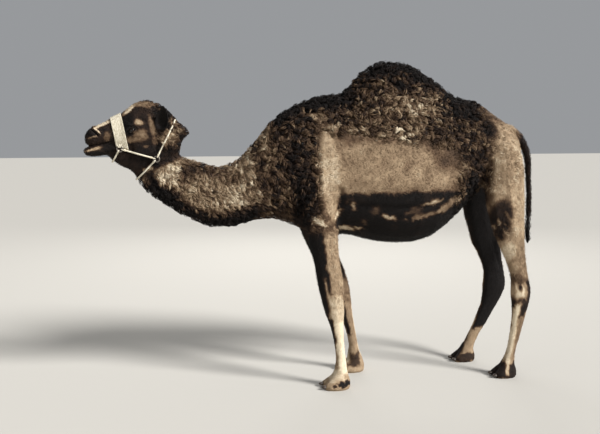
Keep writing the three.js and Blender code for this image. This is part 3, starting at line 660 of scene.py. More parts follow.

# The legs' markings and painted shade, placed by height and by how far behind the leg's middle line they are.
# The dark front edges and the far legs' dark inner faces are painted shade.
LEG_MIDDLES = {
    # fore or hind, side: heights and places
    (-1, -1): ((40, 160, 560, 1010, 1480), (-590, -580, -631, -702, -728)),
    (-1, 1): ((40, 155, 555, 1000, 1480), (-404, -393, -495, -665, -728)),
    (1, -1): ((40, 140, 562, 1060, 1600), (560, 587, 654, 550, 512)),
    (1, 1): ((40, 140, 540, 1060, 1600), (446, 490, 660, 532, 512)),
}
LEG_MARKS = [
    # fore or hind, outer or inner side, heights, places behind the middle, lightness, strength
    # painted shade on the far foreleg's inner face: black above, dark at the front below
    (-1, "inner", (480, 1060), (-150, 150), 0.02, 0.95),
    (-1, "inner", (240, 600), (-90, -4), 0.02, 0.95),
    (-1, "inner", (180, 640), (6, 90), 0.62, 0.9),
    (-1, "inner", (40, 120), (-60, 30), 0.12, 0.7),
    # painted shade down the front edge of the near forearm
    (-1, "outer", (600, 1030), (-160, -20), 0.0, 1),
    (-1, "outer", (640, 1000), (-14, 110), 0.72, 0.85),
    (-1, "outer", (590, 700), (-54, -36), 0.85, 0.85),
    # painted shade on the front of the near knee
    (-1, "outer", (380, 620), (-110, -50), 0.03, 0.95),
    (-1, "outer", (450, 600), (-38, 60), 0.90, 0.8),
    # painted shade down the front edge of the near fore cannon
    (-1, "outer", (250, 450), (-80, -27), 0.05, 0.9),
    (-1, "outer", (110, 440), (-22, 80), 0.98, 0.95),
    (-1, "outer", (60, 120), (-130, 20), 0.90, 0.8),
    # painted shade over the far hind leg's inner face, black from thigh to hock
    (1, "inner", (230, 1250), (-200, 200), 0.0, 1),
    (1, "inner", (60, 190), (-90, 10), 0.66, 0.8),
    (1, "inner", (0, 60), (-120, 120), 0.12, 0.8),
    (1, "outer", (520, 610), (-50, 10), 0.92, 0.9),
    (1, "outer", (575, 620), (-34, -6), 0.04, 0.9),
    (1, "outer", (500, 522), (-70, 20), 0.04, 0.9),
    (1, "outer", (430, 640), (34, 110), 0.08, 0.9),
    # painted shade down the front edge of the near hind cannon
    (1, "outer", (100, 500), (-90, -40), 0.02, 0.95),
    (1, "outer", (100, 496), (-34, -2), 0.95, 0.95),
    (1, "outer", (405, 490), (4, 40), 0.04, 0.9),
    (1, "outer", (120, 400), (8, 90), 0.50, 0.8),
    (1, "outer", (0, 100), (-150, 150), 0.05, 0.9),
    (1, "outer", (20, 130), (-36, -8), 0.90, 0.9),
]
legs = zone["upper_leg"] + zone["shank"] + zone["foot"]
behind = np.zeros(len(stance))
for (pair, side), (heights, places) in LEG_MIDDLES.items():
    mine = (np.sign(Y) == side) & (np.sign(X) == pair)
    behind[mine] = (X - np.interp(Z, heights, places))[mine]
wander = 9 * patchy(stance, 34, 9) + 4 * patchy(stance, 13, 10)
for pair, face, (low, high), (front, back), light, strength in LEG_MARKS:
    share = smooth(low - 12, low + 12, Z + 2 * wander) * smooth(high * 1.06, high * 0.97, Z + 2 * wander)
    share = share * smooth(front - 5, front + 5, behind + wander) * smooth(back + 5, back - 5, behind + wander)
    facing = inward if face == "inner" else 1 - inward
    tone += (light - tone) * share * legs * facing * (np.sign(X) == pair) * strength
tone += (0.02 - tone) * np.maximum(1 - smooth(2, 5, lid_far), 1 - smooth(3, 7, nostril_far))
tone += (0.08 - tone) * (1 - smooth(2, 5, mouth_far))
streaks = patchy(stance * [1, 1, 0.35], 24, 7) * zone["neck"]
fleck = patchy(stance, 26, 11) + 0.6 * patchy(stance, 13, 12)
flecked = (0.04 + 0.19 * wool) * fleck * smooth(0.0, 0.12, tone)
tone = tone + 0.10 * patchy(stance, 60, 5) * body + 0.12 * streaks + flecked
tone = np.clip(tone, 0, 1)
bald = (lid_far < 5) | (mouth_far < 4) | (nostril_far < 6) | (Z < 10)

# Which way the hair lies.
DIRECTIONS = dict(ear=(0.2, 0, 1), neck=(0.8, 0, -0.6), trunk=(0.85, 0, -0.5), hump=(0.55, 0, -0.8),
                  upper_leg=(0.25, 0, -1), shank=(0, 0, -1), foot=(-0.3, 0, -1), tail=(0, 0, -1),
                  tuft=(0, 0, -1))
NOSE_TIP = (-2110, 0, 1650)
lie = sum(zone[group][:, None] * np.array(direction) for group, direction in DIRECTIONS.items())
lie = lie + zone["head"][:, None] * unit(stance - NOSE_TIP)
surface = read(hide.data.vertices, "normal", 3)
lie = unit(lie - surface * (lie * surface).sum(1)[:, None])

COAT_COLOURS = [(0.0, "#080504"), (0.25, "#281b13"), (0.5, "#604b38"), (0.75, "#9b856a"), (1.0, "#decfb4")]
hide.data.attributes.new("tone", "FLOAT", "POINT").data.foreach_set("value", tone.astype(np.float32))
hide.data.attributes.new("down", "FLOAT", "POINT").data.foreach_set("value", legs.astype(np.float32))
# Short flat hair: matt, in streaks that run back along the body and down the legs. They are about 2 mm
# wide, far coarser than real hairs, so that they show.
STREAKS_ALONG, STREAKS_ACROSS = 70.0, 420.0  # to the metre
hide_finish, tree, shader = new_material("short haired hide")
value = add(tree, "ShaderNodeAttribute", {"attribute_name": "tone"}).outputs["Fac"]
place = add(tree, "ShaderNodeTexCoord").outputs["Object"]
both = []
for scale in ((STREAKS_ALONG, STREAKS_ACROSS, STREAKS_ACROSS), (STREAKS_ACROSS, STREAKS_ACROSS, STREAKS_ALONG)):
    stretch = add(tree, "ShaderNodeMapping", {"Scale": scale}, {"Vector": place}).outputs["Vector"]
    both.append(add(tree, "ShaderNodeTexNoise", {"Scale": 1.0, "Detail": 3.0, "Roughness": 0.6},
                    {"Vector": stretch}).outputs["Fac"])
level, hanging = both
down = add(tree, "ShaderNodeAttribute", {"attribute_name": "down"}).outputs["Fac"]
hairs = add(tree, "ShaderNodeMix", {}, {0: down, 2: level, 3: hanging}).outputs[0]
spread = add(tree, "ShaderNodeMath", {"operation": "MULTIPLY_ADD", 1: 0.36, 2: -0.18}, {0: hairs})
mixed = add(tree, "ShaderNodeMath", {"operation": "ADD"}, {0: value, 1: spread.outputs[0]})
shade = add(tree, "ShaderNodeValToRGB", {"stops": COAT_COLOURS}, {"Fac": mixed.outputs[0]})
tree.links.new(shade.outputs["Color"], shader.inputs["Base Color"])
shader.inputs["Roughness"].default_value = 0.8
shader.inputs["Specular IOR Level"].default_value = 0.2
bump = add(tree, "ShaderNodeBump", {"Strength": 0.8, "Distance": 0.002}, {"Height": hairs})
tree.links.new(bump.outputs["Normal"], shader.inputs["Normal"])
hide.data.materials.append(hide_finish)
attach(hide, "root")
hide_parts(*flesh_nodes)


# ------------------------------------------------------------------ coat
# The coat grows from the hide in tapered locks that lie back and down over each other. It is long and
# curly over the neck, shoulders and hump, and short and flat on the flanks, face and legs.

RING_AT = (0.0, 0.38, 0.72)  # where along a lock its rings of three corners lie
RING_WIDTH = (0.7, 1.0, 0.75)
LOCK_FACES = np.array(
    [[0, 1, 2]]
    + [[a + r * 3, b + r * 3, b + r * 3 + 3] for r in (0, 1) for a, b in ((1, 0), (2, 1), (0, 2))]
    + [[a + r * 3, b + r * 3 + 3, a + r * 3 + 3] for r in (0, 1) for a, b in ((1, 0), (2, 1), (0, 2))]
    + [[7, 6, 9], [8, 7, 9], [6, 8, 9]]
)
PLAIN_FACES = np.where(LOCK_FACES >= 6, 9, LOCK_FACES)[:10]
ALONG = np.array([-0.15, 0, -0.15, 0.38, 0.4, 0.38, 0.72, 0.74, 0.72, 1.0])
ACROSS = np.array([0, 0.5, 1, 0, 0.5, 1, 0.1, 0.5, 0.9, 0.5])
# painted shade at each lock's root and painted light at its tip
ROOT_SHADE_TIP_LIGHT = np.array([-0.16, -0.12, -0.16, -0.05, 0, -0.05, 0.03, 0.06, 0.03, 0.13])  # from root to tip
BAKE_PATCH = 0.003  # share of the map that one lock takes
LOCKS_PER_CURL = 9
PLAIN_BELOW = 0.45  # how curly a lock must be to have a third ring

hide.data.calc_loop_triangles()
hide_triangles = read(hide.data.loop_triangles, "vertices", 3, np.int32)
hide_tree = BVHTree.FromPolygons(skin.tolist(), hide_triangles.tolist())


def near_hide(places):
    """The nearest place on the hide to each place, and the hide's normal there."""
    found = [hide_tree.find_nearest(p)[:2] for p in places.tolist()]
    return np.array([f[0] for f in found]), np.array([f[1] for f in found])


def unrolled(places, lines):
    """Places on the hide unrolled round the nearest of some centre lines: how far along it, and around it."""
    best = np.full(len(places), np.inf)
    uv = np.zeros((len(places), 2))
    for k, line in enumerate(np.array(lines, float)):
        steps = np.linalg.norm(np.diff(line, axis=0), axis=1)
        starts = np.concatenate([[0], np.cumsum(steps)])
        for i, (a, b) in enumerate(zip(line[:-1], line[1:])):
            ahead = (b - a) / steps[i]
            t = np.clip(((places - a) @ ahead) / steps[i], 0, 1)
            away = places - (a + t[:, None] * (b - a))
            far = np.linalg.norm(away, axis=1)
            level = unit(np.cross(ahead, (0, 0, 1) if abs(ahead[2]) < 0.9 else (1, 0, 0)))
            around = np.arctan2(away @ level, away @ np.cross(level, ahead)) / (2 * math.pi) + 0.5
            closer = far < best
            uv[closer, 0] = ((starts[i] + t * steps[i]) / starts[-1])[closer]
            uv[closer, 1] = ((k + around) / len(lines))[closer]
            best[closer] = far[closer]
    return uv * 0.99


def coat_piece(name, inside, lines, seed):
    """One piece of the coat, on the vertices inside it. The lines are what its map is unrolled round."""
    rng = np.random.default_rng(seed)
    p = skin[hide_triangles]
    area = np.linalg.norm(np.cross(p[:, 1] - p[:, 0], p[:, 2] - p[:, 0]), axis=1) / 2
    sown = (inside & ~bald)[hide_triangles].mean(1) > 0.5
    wanted = area * sown / spacing[hide_triangles].mean(1) ** 2 / 1
    count = np.floor(wanted + rng.random(len(wanted))).astype(int)
    face = np.repeat(np.arange(len(count)), count)
    n = len(face)
    a, b = rng.random((2, n))
    flip = a + b > 1
    a, b = np.where(flip, 1 - a, a), np.where(flip, 1 - b, b)
    blend = np.stack([1 - a - b, a, b], 1)

    def at_root(values):
        picked = values[hide_triangles[face]]
        return np.einsum("nk,nk...->n...", blend, picked)

    root, up, ahead = at_root(skin), unit(at_root(surface)), unit(at_root(lie))
    long, wide, high, bend, light = (at_root(f) for f in (length, width, lift, curl, tone))

    # Neighbouring locks gather into curls that turn the same way.
    centres = rng.permutation(n)[:max(n // LOCKS_PER_CURL, 1)]
    tree = KDTree(len(centres))
    for i, c in enumerate(centres):
        tree.insert(root[c], i)
    tree.balance()
    mine = np.array([tree.find(r)[1] for r in root])
    turn = rng.normal(0, 0.7, len(centres))[mine] * bend + rng.normal(0, 0.16, n)
    hand = np.where(rng.random(len(centres)) < 0.5, -1, 1)[mine]
    paler = rng.normal(0, 1, len(centres))[mine]
    fuller = 1 + (rng.uniform(-0.35, 0.35, len(centres))[mine]) * bend
    gather = (root[centres][mine] - root) * 0.5
    side = unit(np.cross(ahead, up))
    ahead, side = (ahead * np.cos(turn)[:, None] + side * np.sin(turn)[:, None],
                   side * np.cos(turn)[:, None] - ahead * np.sin(turn)[:, None])
    long = long * rng.uniform(0.75, 1.25, n)
    wide = wide * rng.uniform(0.75, 1.25, n)
    high = high * rng.uniform(0.65, 1.1, n) * fuller

    stations = []
    for t in (*RING_AT, 1.0):
        forward = long * t * (1 - 0.25 * bend * t)
        sideways_by = hand * long * bend * 0.55 * t * t
        middle = root + ahead * forward[:, None] + side * sideways_by[:, None] + gather * t ** 1.3
        foot, over = near_hide(middle) if t else (root, up)
        height = high * np.sin(math.pi * (0.08 + (0.86 - 0.14 * bend) * t)) - 1.5 * (t == 0)
        stations.append((foot + over * height[:, None], over))
    verts = np.zeros((n, 10, 3))
    for r in range(3):
        here, over = stations[r]
        path = unit(stations[r + 1][0] - stations[max(r - 1, 0)][0])
        across = unit(np.cross(path, over))
        w = (wide * RING_WIDTH[r] / 2)[:, None]
        verts[:, r * 3] = here - across * w
        verts[:, r * 3 + 1] = here + np.cross(across, path) * w * (0.3 + 0.6 * bend)[:, None]
        verts[:, r * 3 + 2] = here + across * w
    verts[:, 9] = stations[3][0]
    verts[..., 2] = np.maximum(verts[..., 2], 1)

    # Straight short locks do without the third ring.
    plain = bend < PLAIN_BELOW
    starts = np.arange(n)[:, None, None] * 10
    faces = np.concatenate([(LOCK_FACES[None] + starts)[~plain].reshape(-1, 3),
                            (PLAIN_FACES[None] + starts)[plain].reshape(-1, 3)])
    kept = np.ones((n, 10), bool)
    kept[plain, 6:9] = False
    kept = kept.ravel()
    new_index = np.cumsum(kept) - 1
    mesh = bpy.data.meshes.new(name)
    mesh.vertices.add(int(kept.sum()))
    mesh.vertices.foreach_set("co", to_frame(verts.reshape(-1, 3)[kept]).astype(np.float32).ravel())
    mesh.loops.add(faces.size)
    mesh.loops.foreach_set("vertex_index", new_index[faces.ravel()].astype(np.int32))
    mesh.polygons.add(len(faces))
    mesh.polygons.foreach_set("loop_start", np.arange(0, faces.size, 3, dtype=np.int32))
    mesh.polygons.foreach_set("loop_total", np.full(len(faces), 3, np.int32))
    rounded = np.arange(len(faces)) < len(LOCK_FACES) * int((~plain).sum())
    mesh.polygons.foreach_set("use_smooth", rounded)
    mesh.update(calc_edges=True)

    corner = np.stack([ALONG, ACROSS], 1)
    bake = unrolled(root, lines)[:, None] + corner * BAKE_PATCH
    strand = corner * [long.mean() / 1000, wide.mean() / 1000] + rng.random((n, 1, 2))
    for layer, uv in (("OFBake", bake), ("strands", strand)):
        uv = uv.reshape(-1, 2)[faces.ravel()]
        mesh.uv_layers.new(name=layer).data.foreach_set("uv", uv.astype(np.float32).ravel())
    light = light + (0.03 + 0.10 * bend) * paler * smooth(0, 0.1, light) + rng.normal(0, 0.02, n)
    # painted shade at the roots and painted light at the tips, stronger on curly locks
    light = np.clip(light[:, None] + ROOT_SHADE_TIP_LIGHT * (0.1 + 0.9 * bend)[:, None], 0, 1)
    mesh.attributes.new("tone", "FLOAT", "POINT").data.foreach_set("value", light.ravel()[kept].astype(np.float32))
    mesh.materials.append(coat_finish)
    piece = shown(name, mesh)
    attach(piece, "root")


# Camel hair: matt, with lighter and darker strands along each lock. They are about 1 mm wide, far
# coarser than real hairs, so that they show.
coat_finish, tree, shader = new_material("camel hair")
value = add(tree, "ShaderNodeAttribute", {"attribute_name": "tone"}).outputs["Fac"]
place = add(tree, "ShaderNodeUVMap", {"uv_map": "strands"}).outputs["UV"]
stretch = add(tree, "ShaderNodeMapping", {"Scale": (60.0, 900.0, 1.0)}, {"Vector": place})
hairs = add(tree, "ShaderNodeTexNoise", {"Scale": 1.0, "Detail": 2.0}, {"Vector": stretch.outputs["Vector"]})
spread = add(tree, "ShaderNodeMath", {"operation": "MULTIPLY_ADD", 1: 0.4, 2: -0.2}, {0: hairs.outputs["Fac"]})
mixed = add(tree, "ShaderNodeMath", {"operation": "ADD"}, {0: value, 1: spread.outputs[0]})
shade = add(tree, "ShaderNodeValToRGB", {"stops": COAT_COLOURS}, {"Fac": mixed.outputs[0]})
tree.links.new(shade.outputs["Color"], shader.inputs["Base Color"])
shader.inputs["Roughness"].default_value = 0.75
shader.inputs["Specular IOR Level"].default_value = 0.2
bump = add(tree, "ShaderNodeBump", {"Strength": 0.5, "Distance": 0.002}, {"Height": hairs.outputs["Fac"]})
tree.links.new(bump.outputs["Normal"], shader.inputs["Normal"])

HEAD_LINE = [(-2110, 0, 1600), (-1850, 0, 1610), (-1640, 0, 1600)]
NECK_LINE = [(-1640, 0, 1450), (-1450, 0, 1200), (-1060, 0, 1330)]
BODY_LINE = [(-1060, 0, 1350), (-300, 0, 1450), (780, 0, 1500)]
TAIL_LINE = [(600, 0, 1650), (780, 0, 1450), (800, 0, 870)]
LEG_LINES = [[(x, y, 1300), (x - 60, y, 600), (x + 20, y, 0)]
             for x, y in ((-700, -180), (-480, 160), (620, -200), (560, 200))]

# In millimetres, how far apart the locks stand, how long and wide they are and how high they rise; and
# from 0 to 1 how curly they are.
spacing = by_group(head=5.6, ear=5.4, neck=7.1, trunk=7.1, hump=6.6, upper_leg=10.5, shank=10, foot=8.5,
                   tail=8, tuft=5)
spacing = spacing + 4 * (1 - wool) * (zone["trunk"] + zone["hump"]) - 4 * wool * zone["upper_leg"]
length = by_group(head=9, ear=15, neck=16, trunk=15, hump=16, upper_leg=15, shank=11, foot=7, tail=26,
                  tuft=90)
length = length + wool * by_group(head=19, neck=22, trunk=23, hump=22, upper_leg=20)
width = by_group(head=1.3, ear=1.3, neck=2.2, trunk=2.4, hump=2.4, upper_leg=2, shank=1.6, foot=1.4,
                 tail=3, tuft=3.6)
width = width + wool * by_group(head=2.0, neck=2.3, trunk=2.4, hump=2.4, upper_leg=2.4)
lift = depth * 1.05
curl = 0.12 + 0.88 * wool * (1 - zone["tuft"])

region = np.array(GROUPS)[weights.argmax(1)]
on_body = np.isin(region, ["trunk", "hump"])
on_leg = np.isin(region, ["upper_leg", "shank", "foot"])
RIBS_FROM, RUMP_FROM = -652, 168
PIECES = [
    ("coat_head", np.isin(region, ["head", "ear"]), [HEAD_LINE]),
    ("coat_neck", region == "neck", [NECK_LINE]),
    ("coat_shoulders", on_body & (X < RIBS_FROM), [BODY_LINE]),
    ("coat_ribs_left", on_body & (X >= RIBS_FROM) & (X < RUMP_FROM) & (Y < 0), [BODY_LINE]),
    ("coat_ribs_right", on_body & (X >= RIBS_FROM) & (X < RUMP_FROM) & (Y >= 0), [BODY_LINE]),
    ("coat_rump", on_body & (X >= RUMP_FROM), [BODY_LINE]),
    ("coat_forelegs", on_leg & (X < 0), LEG_LINES[:2]),
    ("coat_hind_legs", on_leg & (X >= 0), LEG_LINES[2:]),
    ("coat_tail", np.isin(region, ["tail", "tuft"]), [TAIL_LINE]),
]
for number, (name, inside, lines) in enumerate(PIECES):
    coat_piece(name, inside, lines, 100 + number)


# ------------------------------------------------------------------ eyes
# Large dark eyes, set deep under thick lids. Each is a wet ball with a brown iris, a level oval pupil
# and a clear bulge in front, and it turns a little forward.

IRIS = 0.74  # radius of the iris as a share of the ball's
PUPIL = (0.44, 0.27)  # half length and half height of the pupil, as shares of the ball's radius
CORNEA_BULGE = 1.2  # millimetres

# Wet cornea over a brown iris: near mirror gloss, over an iris mottled in dark browns.
eye_finish, tree, shader = new_material("wet brown eye")
place = add(tree, "ShaderNodeTexCoord").outputs["Object"]
share = add(tree, "ShaderNodeMapping", {"Scale": (1000 / EYE_RADIUS, 1000 / EYE_RADIUS, 0)}, {"Vector": place})
from_middle = add(tree, "ShaderNodeVectorMath", {"operation": "LENGTH"}, {0: share.outputs["Vector"]})
squeeze = {"Scale": (1 / PUPIL[0], 1 / PUPIL[1], 0)}
squeezed = add(tree, "ShaderNodeMapping", squeeze, {"Vector": share.outputs["Vector"]})
from_pupil = add(tree, "ShaderNodeVectorMath", {"operation": "LENGTH"}, {0: squeezed.outputs["Vector"]})
mottle = add(tree, "ShaderNodeTexNoise", {"Scale": 9.0, "Detail": 4.0, "Roughness": 0.7},
             {"Vector": share.outputs["Vector"]})
IRIS_BROWNS = [(0.3, "#120904"), (0.5, "#26140a"), (0.7, "#3f2814")]
IRIS_EDGE = [(IRIS - 0.14, "#ffffff"), (IRIS - 0.02, "#120a06"), (IRIS + 0.1, "#120a06"), (0.95, "#6b5346")]
browns = add(tree, "ShaderNodeValToRGB", {"stops": IRIS_BROWNS}, {"Fac": mottle.outputs["Fac"]})
ring = add(tree, "ShaderNodeValToRGB", {"stops": IRIS_EDGE}, {"Fac": from_middle.outputs["Value"]})
iris = add(tree, "ShaderNodeMix", {"data_type": "RGBA", "blend_type": "MULTIPLY", "Factor": 1.0},
           {6: browns.outputs["Color"], 7: ring.outputs["Color"]}).outputs[2]
edge = add(tree, "ShaderNodeMapRange", {"From Min": 0.9, "From Max": 1.05}, {"Value": from_pupil.outputs["Value"]})
iris = add(tree, "ShaderNodeMix", {"data_type": "RGBA", 6: colour("#040303")},
           {"Factor": edge.outputs["Result"], 7: iris})
tree.links.new(iris.outputs[2], shader.inputs["Base Color"])
shader.inputs["Roughness"].default_value = 0.09
shader.inputs["IOR"].default_value = 1.38
shader.inputs["Coat Weight"].default_value = 0.25

for side, name in zip(SIDES, ("left", "right")):
    front, up, outward = eye_axes(side)
    part = bmesh.new()
    bmesh.ops.create_uvsphere(part, u_segments=48, v_segments=32, radius=EYE_RADIUS / 1000)
    for vert in part.verts:
        vert.co.z += CORNEA_BULGE / 1000 * float(smooth(0.72, 1.0, vert.co.z * 1000 / EYE_RADIUS))
    for f in part.faces:
        f.smooth = True
    mesh = bpy.data.meshes.new("eyeball_" + name)
    part.to_mesh(mesh)
    part.free()
    mesh.materials.append(eye_finish)
    eyeball = shown("eyeball_" + name, mesh)
    right = np.cross(up, outward)
    turn = Matrix([list(column) for column in zip(right, up, outward)]).to_4x4()
    eyeball.matrix_world = Matrix.Translation(to_frame((EYE_AT[0], side * EYE_AT[1], EYE_AT[2]))) @ turn
    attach(eyeball, "root")
    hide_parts("eye_" + name)


# ------------------------------------------------------------------ lashes
# Two close rows of long stiff lashes on each upper lid and a thin row of short ones on the lower, rooted
# in the lid's rim. They bend down off the lid and sweep up and outwards.

LASHES = [
    # rows: above or below, how many, length, how far out on the rim, seed
    (1, 34, 21, 0.8, 1),
    (1, 28, 16, 2.2, 2),
    (-1, 20, 9, 1.0, 3),
]
LASH_WIDTH = 0.9  # at the root, thicker than a real lash so that it shows


def swept(path, sections, loop=False, start_across=(0, 0, 1)):
    """Points and faces of a skin through a ring of corners at each place of a path. Each section is a list
    of offsets (across, up); the ends are closed unless the path is a loop."""
    path = np.array(path, float)
    ahead = unit(np.roll(path, -1, 0) - np.roll(path, 1, 0)) if loop else unit(np.gradient(path, axis=0))
    across, points, faces = np.array(start_across, float), [], []
    n, k = len(path), len(sections[0])
    for i in range(n):
        across = unit(across - ahead[i] * (across @ ahead[i]))
        rise = np.cross(ahead[i], across)
        points.extend(path[i] + across * a + rise * b for a, b in sections[i])
    for i in range(n if loop else n - 1):
        j = (i + 1) % n
        faces.extend((i * k + c, i * k + (c + 1) % k, j * k + (c + 1) % k, j * k + c) for c in range(k))
    if not loop:
        faces.append(tuple(range(k))[::-1])
        faces.append(tuple((n - 1) * k + c for c in range(k)))
    return points, faces


def circle(radius, count, turn=0):
    """Corners of a section, evenly round a circle."""
    angles = np.arange(count) * 2 * math.pi / count + turn
    return [(radius * math.cos(a), radius * math.sin(a)) for a in angles]


def built(name, parts, finish, replaced=()):
    """One piece from several lots of points and faces, which rides on the model."""
    points, faces = [], []
    for some_points, some_faces in parts:
        faces.extend(tuple(len(points) + i for i in f) for f in some_faces)
        points.extend(some_points)
    mesh = bpy.data.meshes.new(name)
    mesh.from_pydata(to_frame(points).tolist(), [], faces)
    mesh.polygons.foreach_set("use_smooth", np.ones(len(faces), bool))
    part = bmesh.new()
    part.from_mesh(mesh)
    bmesh.ops.recalc_face_normals(part, faces=part.faces)
    part.to_mesh(mesh)
    part.free()
    mesh.materials.append(finish)
    piece = shown(name, mesh)
    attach(piece, "root")
    if replaced:
        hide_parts(*replaced)
    return piece


# Stiff lash hair: near black keratin with a faint gloss.
lash_finish, tree, shader = new_material("dark lash hair")
hairs = add(tree, "ShaderNodeTexNoise", {"Scale": 900.0})
shade = add(tree, "ShaderNodeValToRGB", {"stops": [(0.3, "#0c0806"), (0.7, "#2a1d14")]}, {"Fac": hairs.outputs["Fac"]})
tree.links.new(shade.outputs["Color"], shader.inputs["Base Color"])
shader.inputs["Roughness"].default_value = 0.45

lashes = []
for side in SIDES:
    middle = np.array((EYE_AT[0], side * EYE_AT[1], EYE_AT[2]))
    front, up, outward = eye_axes(side)
    for above, count, reach, out, seed in LASHES:
        rng = np.random.default_rng(seed)
        for i in range(count):
            angle = math.radians(12 + 156 * (i + rng.uniform(-0.3, 0.3)) / (count - 1))
            c, d = math.cos(angle), above * math.sin(angle)
            high = OPENING_UP if above > 0 else OPENING_DOWN
            stretch = 1 / ((abs(c) / OPENING_LENGTH) ** 1.6 + (abs(d) / high) ** 1.6) ** (1 / 1.6)
            u, v = c * (stretch + out), d * (stretch + out)
            rise = math.sqrt(max((EYE_RADIUS + LID_THICKNESS - 1) ** 2 - u * u - v * v, 4))
            root = middle + front * u + up * v + outward * rise
            grow = reach * rng.uniform(0.8, 1.1) * (0.6 + 0.4 * math.sin(angle))
            away = unit(outward * 1.0 + up * above * 0.05 + front * c * 0.7)
            path = [root + away * grow * t + up * above * grow * (0.55 * t * t - 0.22 * math.sin(math.pi * t))
                    for t in (-0.06, 0.2, 0.45, 0.7, 0.88, 1.0)]
            thick = [LASH_WIDTH / 2 * w for w in (1, 1, 0.9, 0.7, 0.45, 0.12)]
            lashes.append(swept(path, [circle(w, 4) for w in thick]))
built("lashes", lashes, lash_finish)


# ------------------------------------------------------------------ nails
# Two short horn nails on the front of each foot, domed above, blunt in front and grown in rings. They
# sit in the skin of the toes.

# Dark horn: a low gloss, with growth rings about 2 mm apart drawn 4 mm apart so that they show.
nail_finish, tree, shader = new_material("dark horn nail")
place = add(tree, "ShaderNodeTexCoord").outputs["Object"]
bands = {"wave_type": "BANDS", "bands_direction": "X", "Scale": 80.0, "Distortion": 1.5, "Detail": 2.0}
rings = add(tree, "ShaderNodeTexWave", bands, {"Vector": place})
grain = add(tree, "ShaderNodeTexNoise", {"Scale": 160.0, "Detail": 3.0}, {"Vector": place})
shade = add(tree, "ShaderNodeValToRGB", {"stops": [(0.3, "#1a130e"), (0.55, "#3a2d22"), (0.8, "#6a5743")]},
            {"Fac": grain.outputs["Fac"]})
tree.links.new(shade.outputs["Color"], shader.inputs["Base Color"])
bump = add(tree, "ShaderNodeBump", {"Strength": 0.5, "Distance": 0.0008}, {"Height": rings.outputs["Fac"]})
tree.links.new(bump.outputs["Normal"], shader.inputs["Normal"])
shader.inputs["Roughness"].default_value = 0.42
shader.inputs["IOR"].default_value = 1.55

for name in sorted(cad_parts):
    if "nail" not in name:
        continue
    low, high = (to_stance(corner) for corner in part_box(name))
    middle, radii = (low + high) / 2, (high - low) / 2
    part = bmesh.new()
    bmesh.ops.create_uvsphere(part, u_segments=32, v_segments=20, radius=1)
    points = []
    for vert in part.verts:
        x, y, z = vert.co
        blunt = np.sign(x) * abs(x) ** 0.8
        lower = z if z > 0 else -(abs(z) ** 0.7) * 0.8
        ridge = 1 + 0.02 * math.sin(x * 22)
        points.append(middle + radii * (blunt, y * (1 + 0.08 * x) * ridge, (lower - 0.12 * (1 + x)) * ridge))
    points = np.maximum(points, [-1e6, -1e6, 1])
    faces = [tuple(v.index for v in f.verts) for f in part.faces]
    part.free()
    built("horn_" + name, [(list(points), faces)], nail_finish, [name])


# ------------------------------------------------------------------ halter
# A broad band of white cotton webbing lies over the nose. Pale twisted cotton cords run from its rings
# under the chin, along the cheeks, under the throat and behind the ears, each tied off with whipping.

NOSE_RING, JAW_RING = (-1926, 76, 1524), (-1712, 106, 1463)
CHIN_LOW, THROAT_LOW, CROWN_TOP = (-1968, 1448), (-1821, 1345), (-1590, 1700)
BAND_TOP, BAND_LOW, BAND_WIDTH = (-1948, 1726), (-1914, 1549), 68
RING_RADIUS, RING_WIRE = 17, 4
CORD_RADIUS, CORD_TWIST = 5.2, 26  # half its thickness, and the length of one full twist
CORD_LIFT = 6  # from the coat's tips to the cord's middle
CORD_STEP, CORD_CORNERS = 2.5, 18  # from section to section, and the corners of each
STRAND_LOW, STRAND_RISE = 0.80, 0.22  # the grooves' radius and how far strands rise from it, as shares
WHIPPING_LENGTH, WHIPPING_TURNS, WHIPPING_BACK = 13, 7, 3  # the last is how far it passes the cord's end
THREAD_OUT, THREAD_RISE = 0.9, 0.5  # how far the whipping's thread lies off the cord, and its ripple
EYELET_RADIUS = 2.8
EYELET_LONG, EYELET_WIDE, EYELET_STEPS = 8.5, 7.5, 28  # half its length, half its width, its sections
RING_STEPS = 48


def flat_unit(a, b):
    """The direction from one place to another on the animal's side, in three dimensions."""
    return unit((b[0] - a[0], 0, b[1] - a[1]))


def round_head(middle, toward, angles, lifts):
    """Places round the head: where lines out of a middle (x, z) leave the coat, turned from a direction
    towards the animal's left (negative angles) or right, and lifted off it."""
    points = []
    for a, lifted in zip(angles, np.broadcast_to(lifts, len(angles))):
        out = toward * math.cos(a) + np.array((0, 1, 0)) * math.sin(a)
        origin = np.array((middle[0], 0, middle[1])) + out * 500
        hit, normal = solids.ray_cast(origin.tolist(), (-out).tolist())[:2]
        points.append(np.array(hit) + unit(np.array(normal) + out) * lifted)
    return points


def evened(points, step):
    """A smooth line through points, with places this far apart."""
    points = np.array(points)
    for _ in range(3):
        points[1:-1] = points[1:-1] * 0.5 + (points[:-2] + points[2:]) * 0.25
    far = np.concatenate([[0], np.cumsum(np.linalg.norm(np.diff(points, axis=0), axis=1))])
    at = np.linspace(0, far[-1], max(int(far[-1] / step), 4) + 1)
    return np.stack([np.interp(at, far, points[:, k]) for k in range(3)], 1)


def cord(points):
    """A cord of three strands twisted together, along a line of points."""
    path = evened(points, CORD_STEP)
    sections = []
    for i in range(len(path)):
        turn = 2 * math.pi * i * CORD_STEP / CORD_TWIST
        angles = np.arange(CORD_CORNERS) * 2 * math.pi / CORD_CORNERS
        radius = CORD_RADIUS * (STRAND_LOW + STRAND_RISE * np.abs(np.cos(1.5 * (angles - turn))))
        sections.append([(r * math.cos(a), r * math.sin(a)) for r, a in zip(radius, angles)])
    return swept(path, sections)


def whipping(at, ahead):
    """Thread wound tightly round the end of a cord."""
    shares = np.linspace(0, 1, WHIPPING_TURNS * 6 + 1)
    path = [at + ahead * WHIPPING_LENGTH * t for t in shares]
    sections = [circle(CORD_RADIUS + THREAD_OUT + THREAD_RISE * math.cos(2 * math.pi * WHIPPING_TURNS * t), 14)
                for t in shares]
    return swept(path, sections)


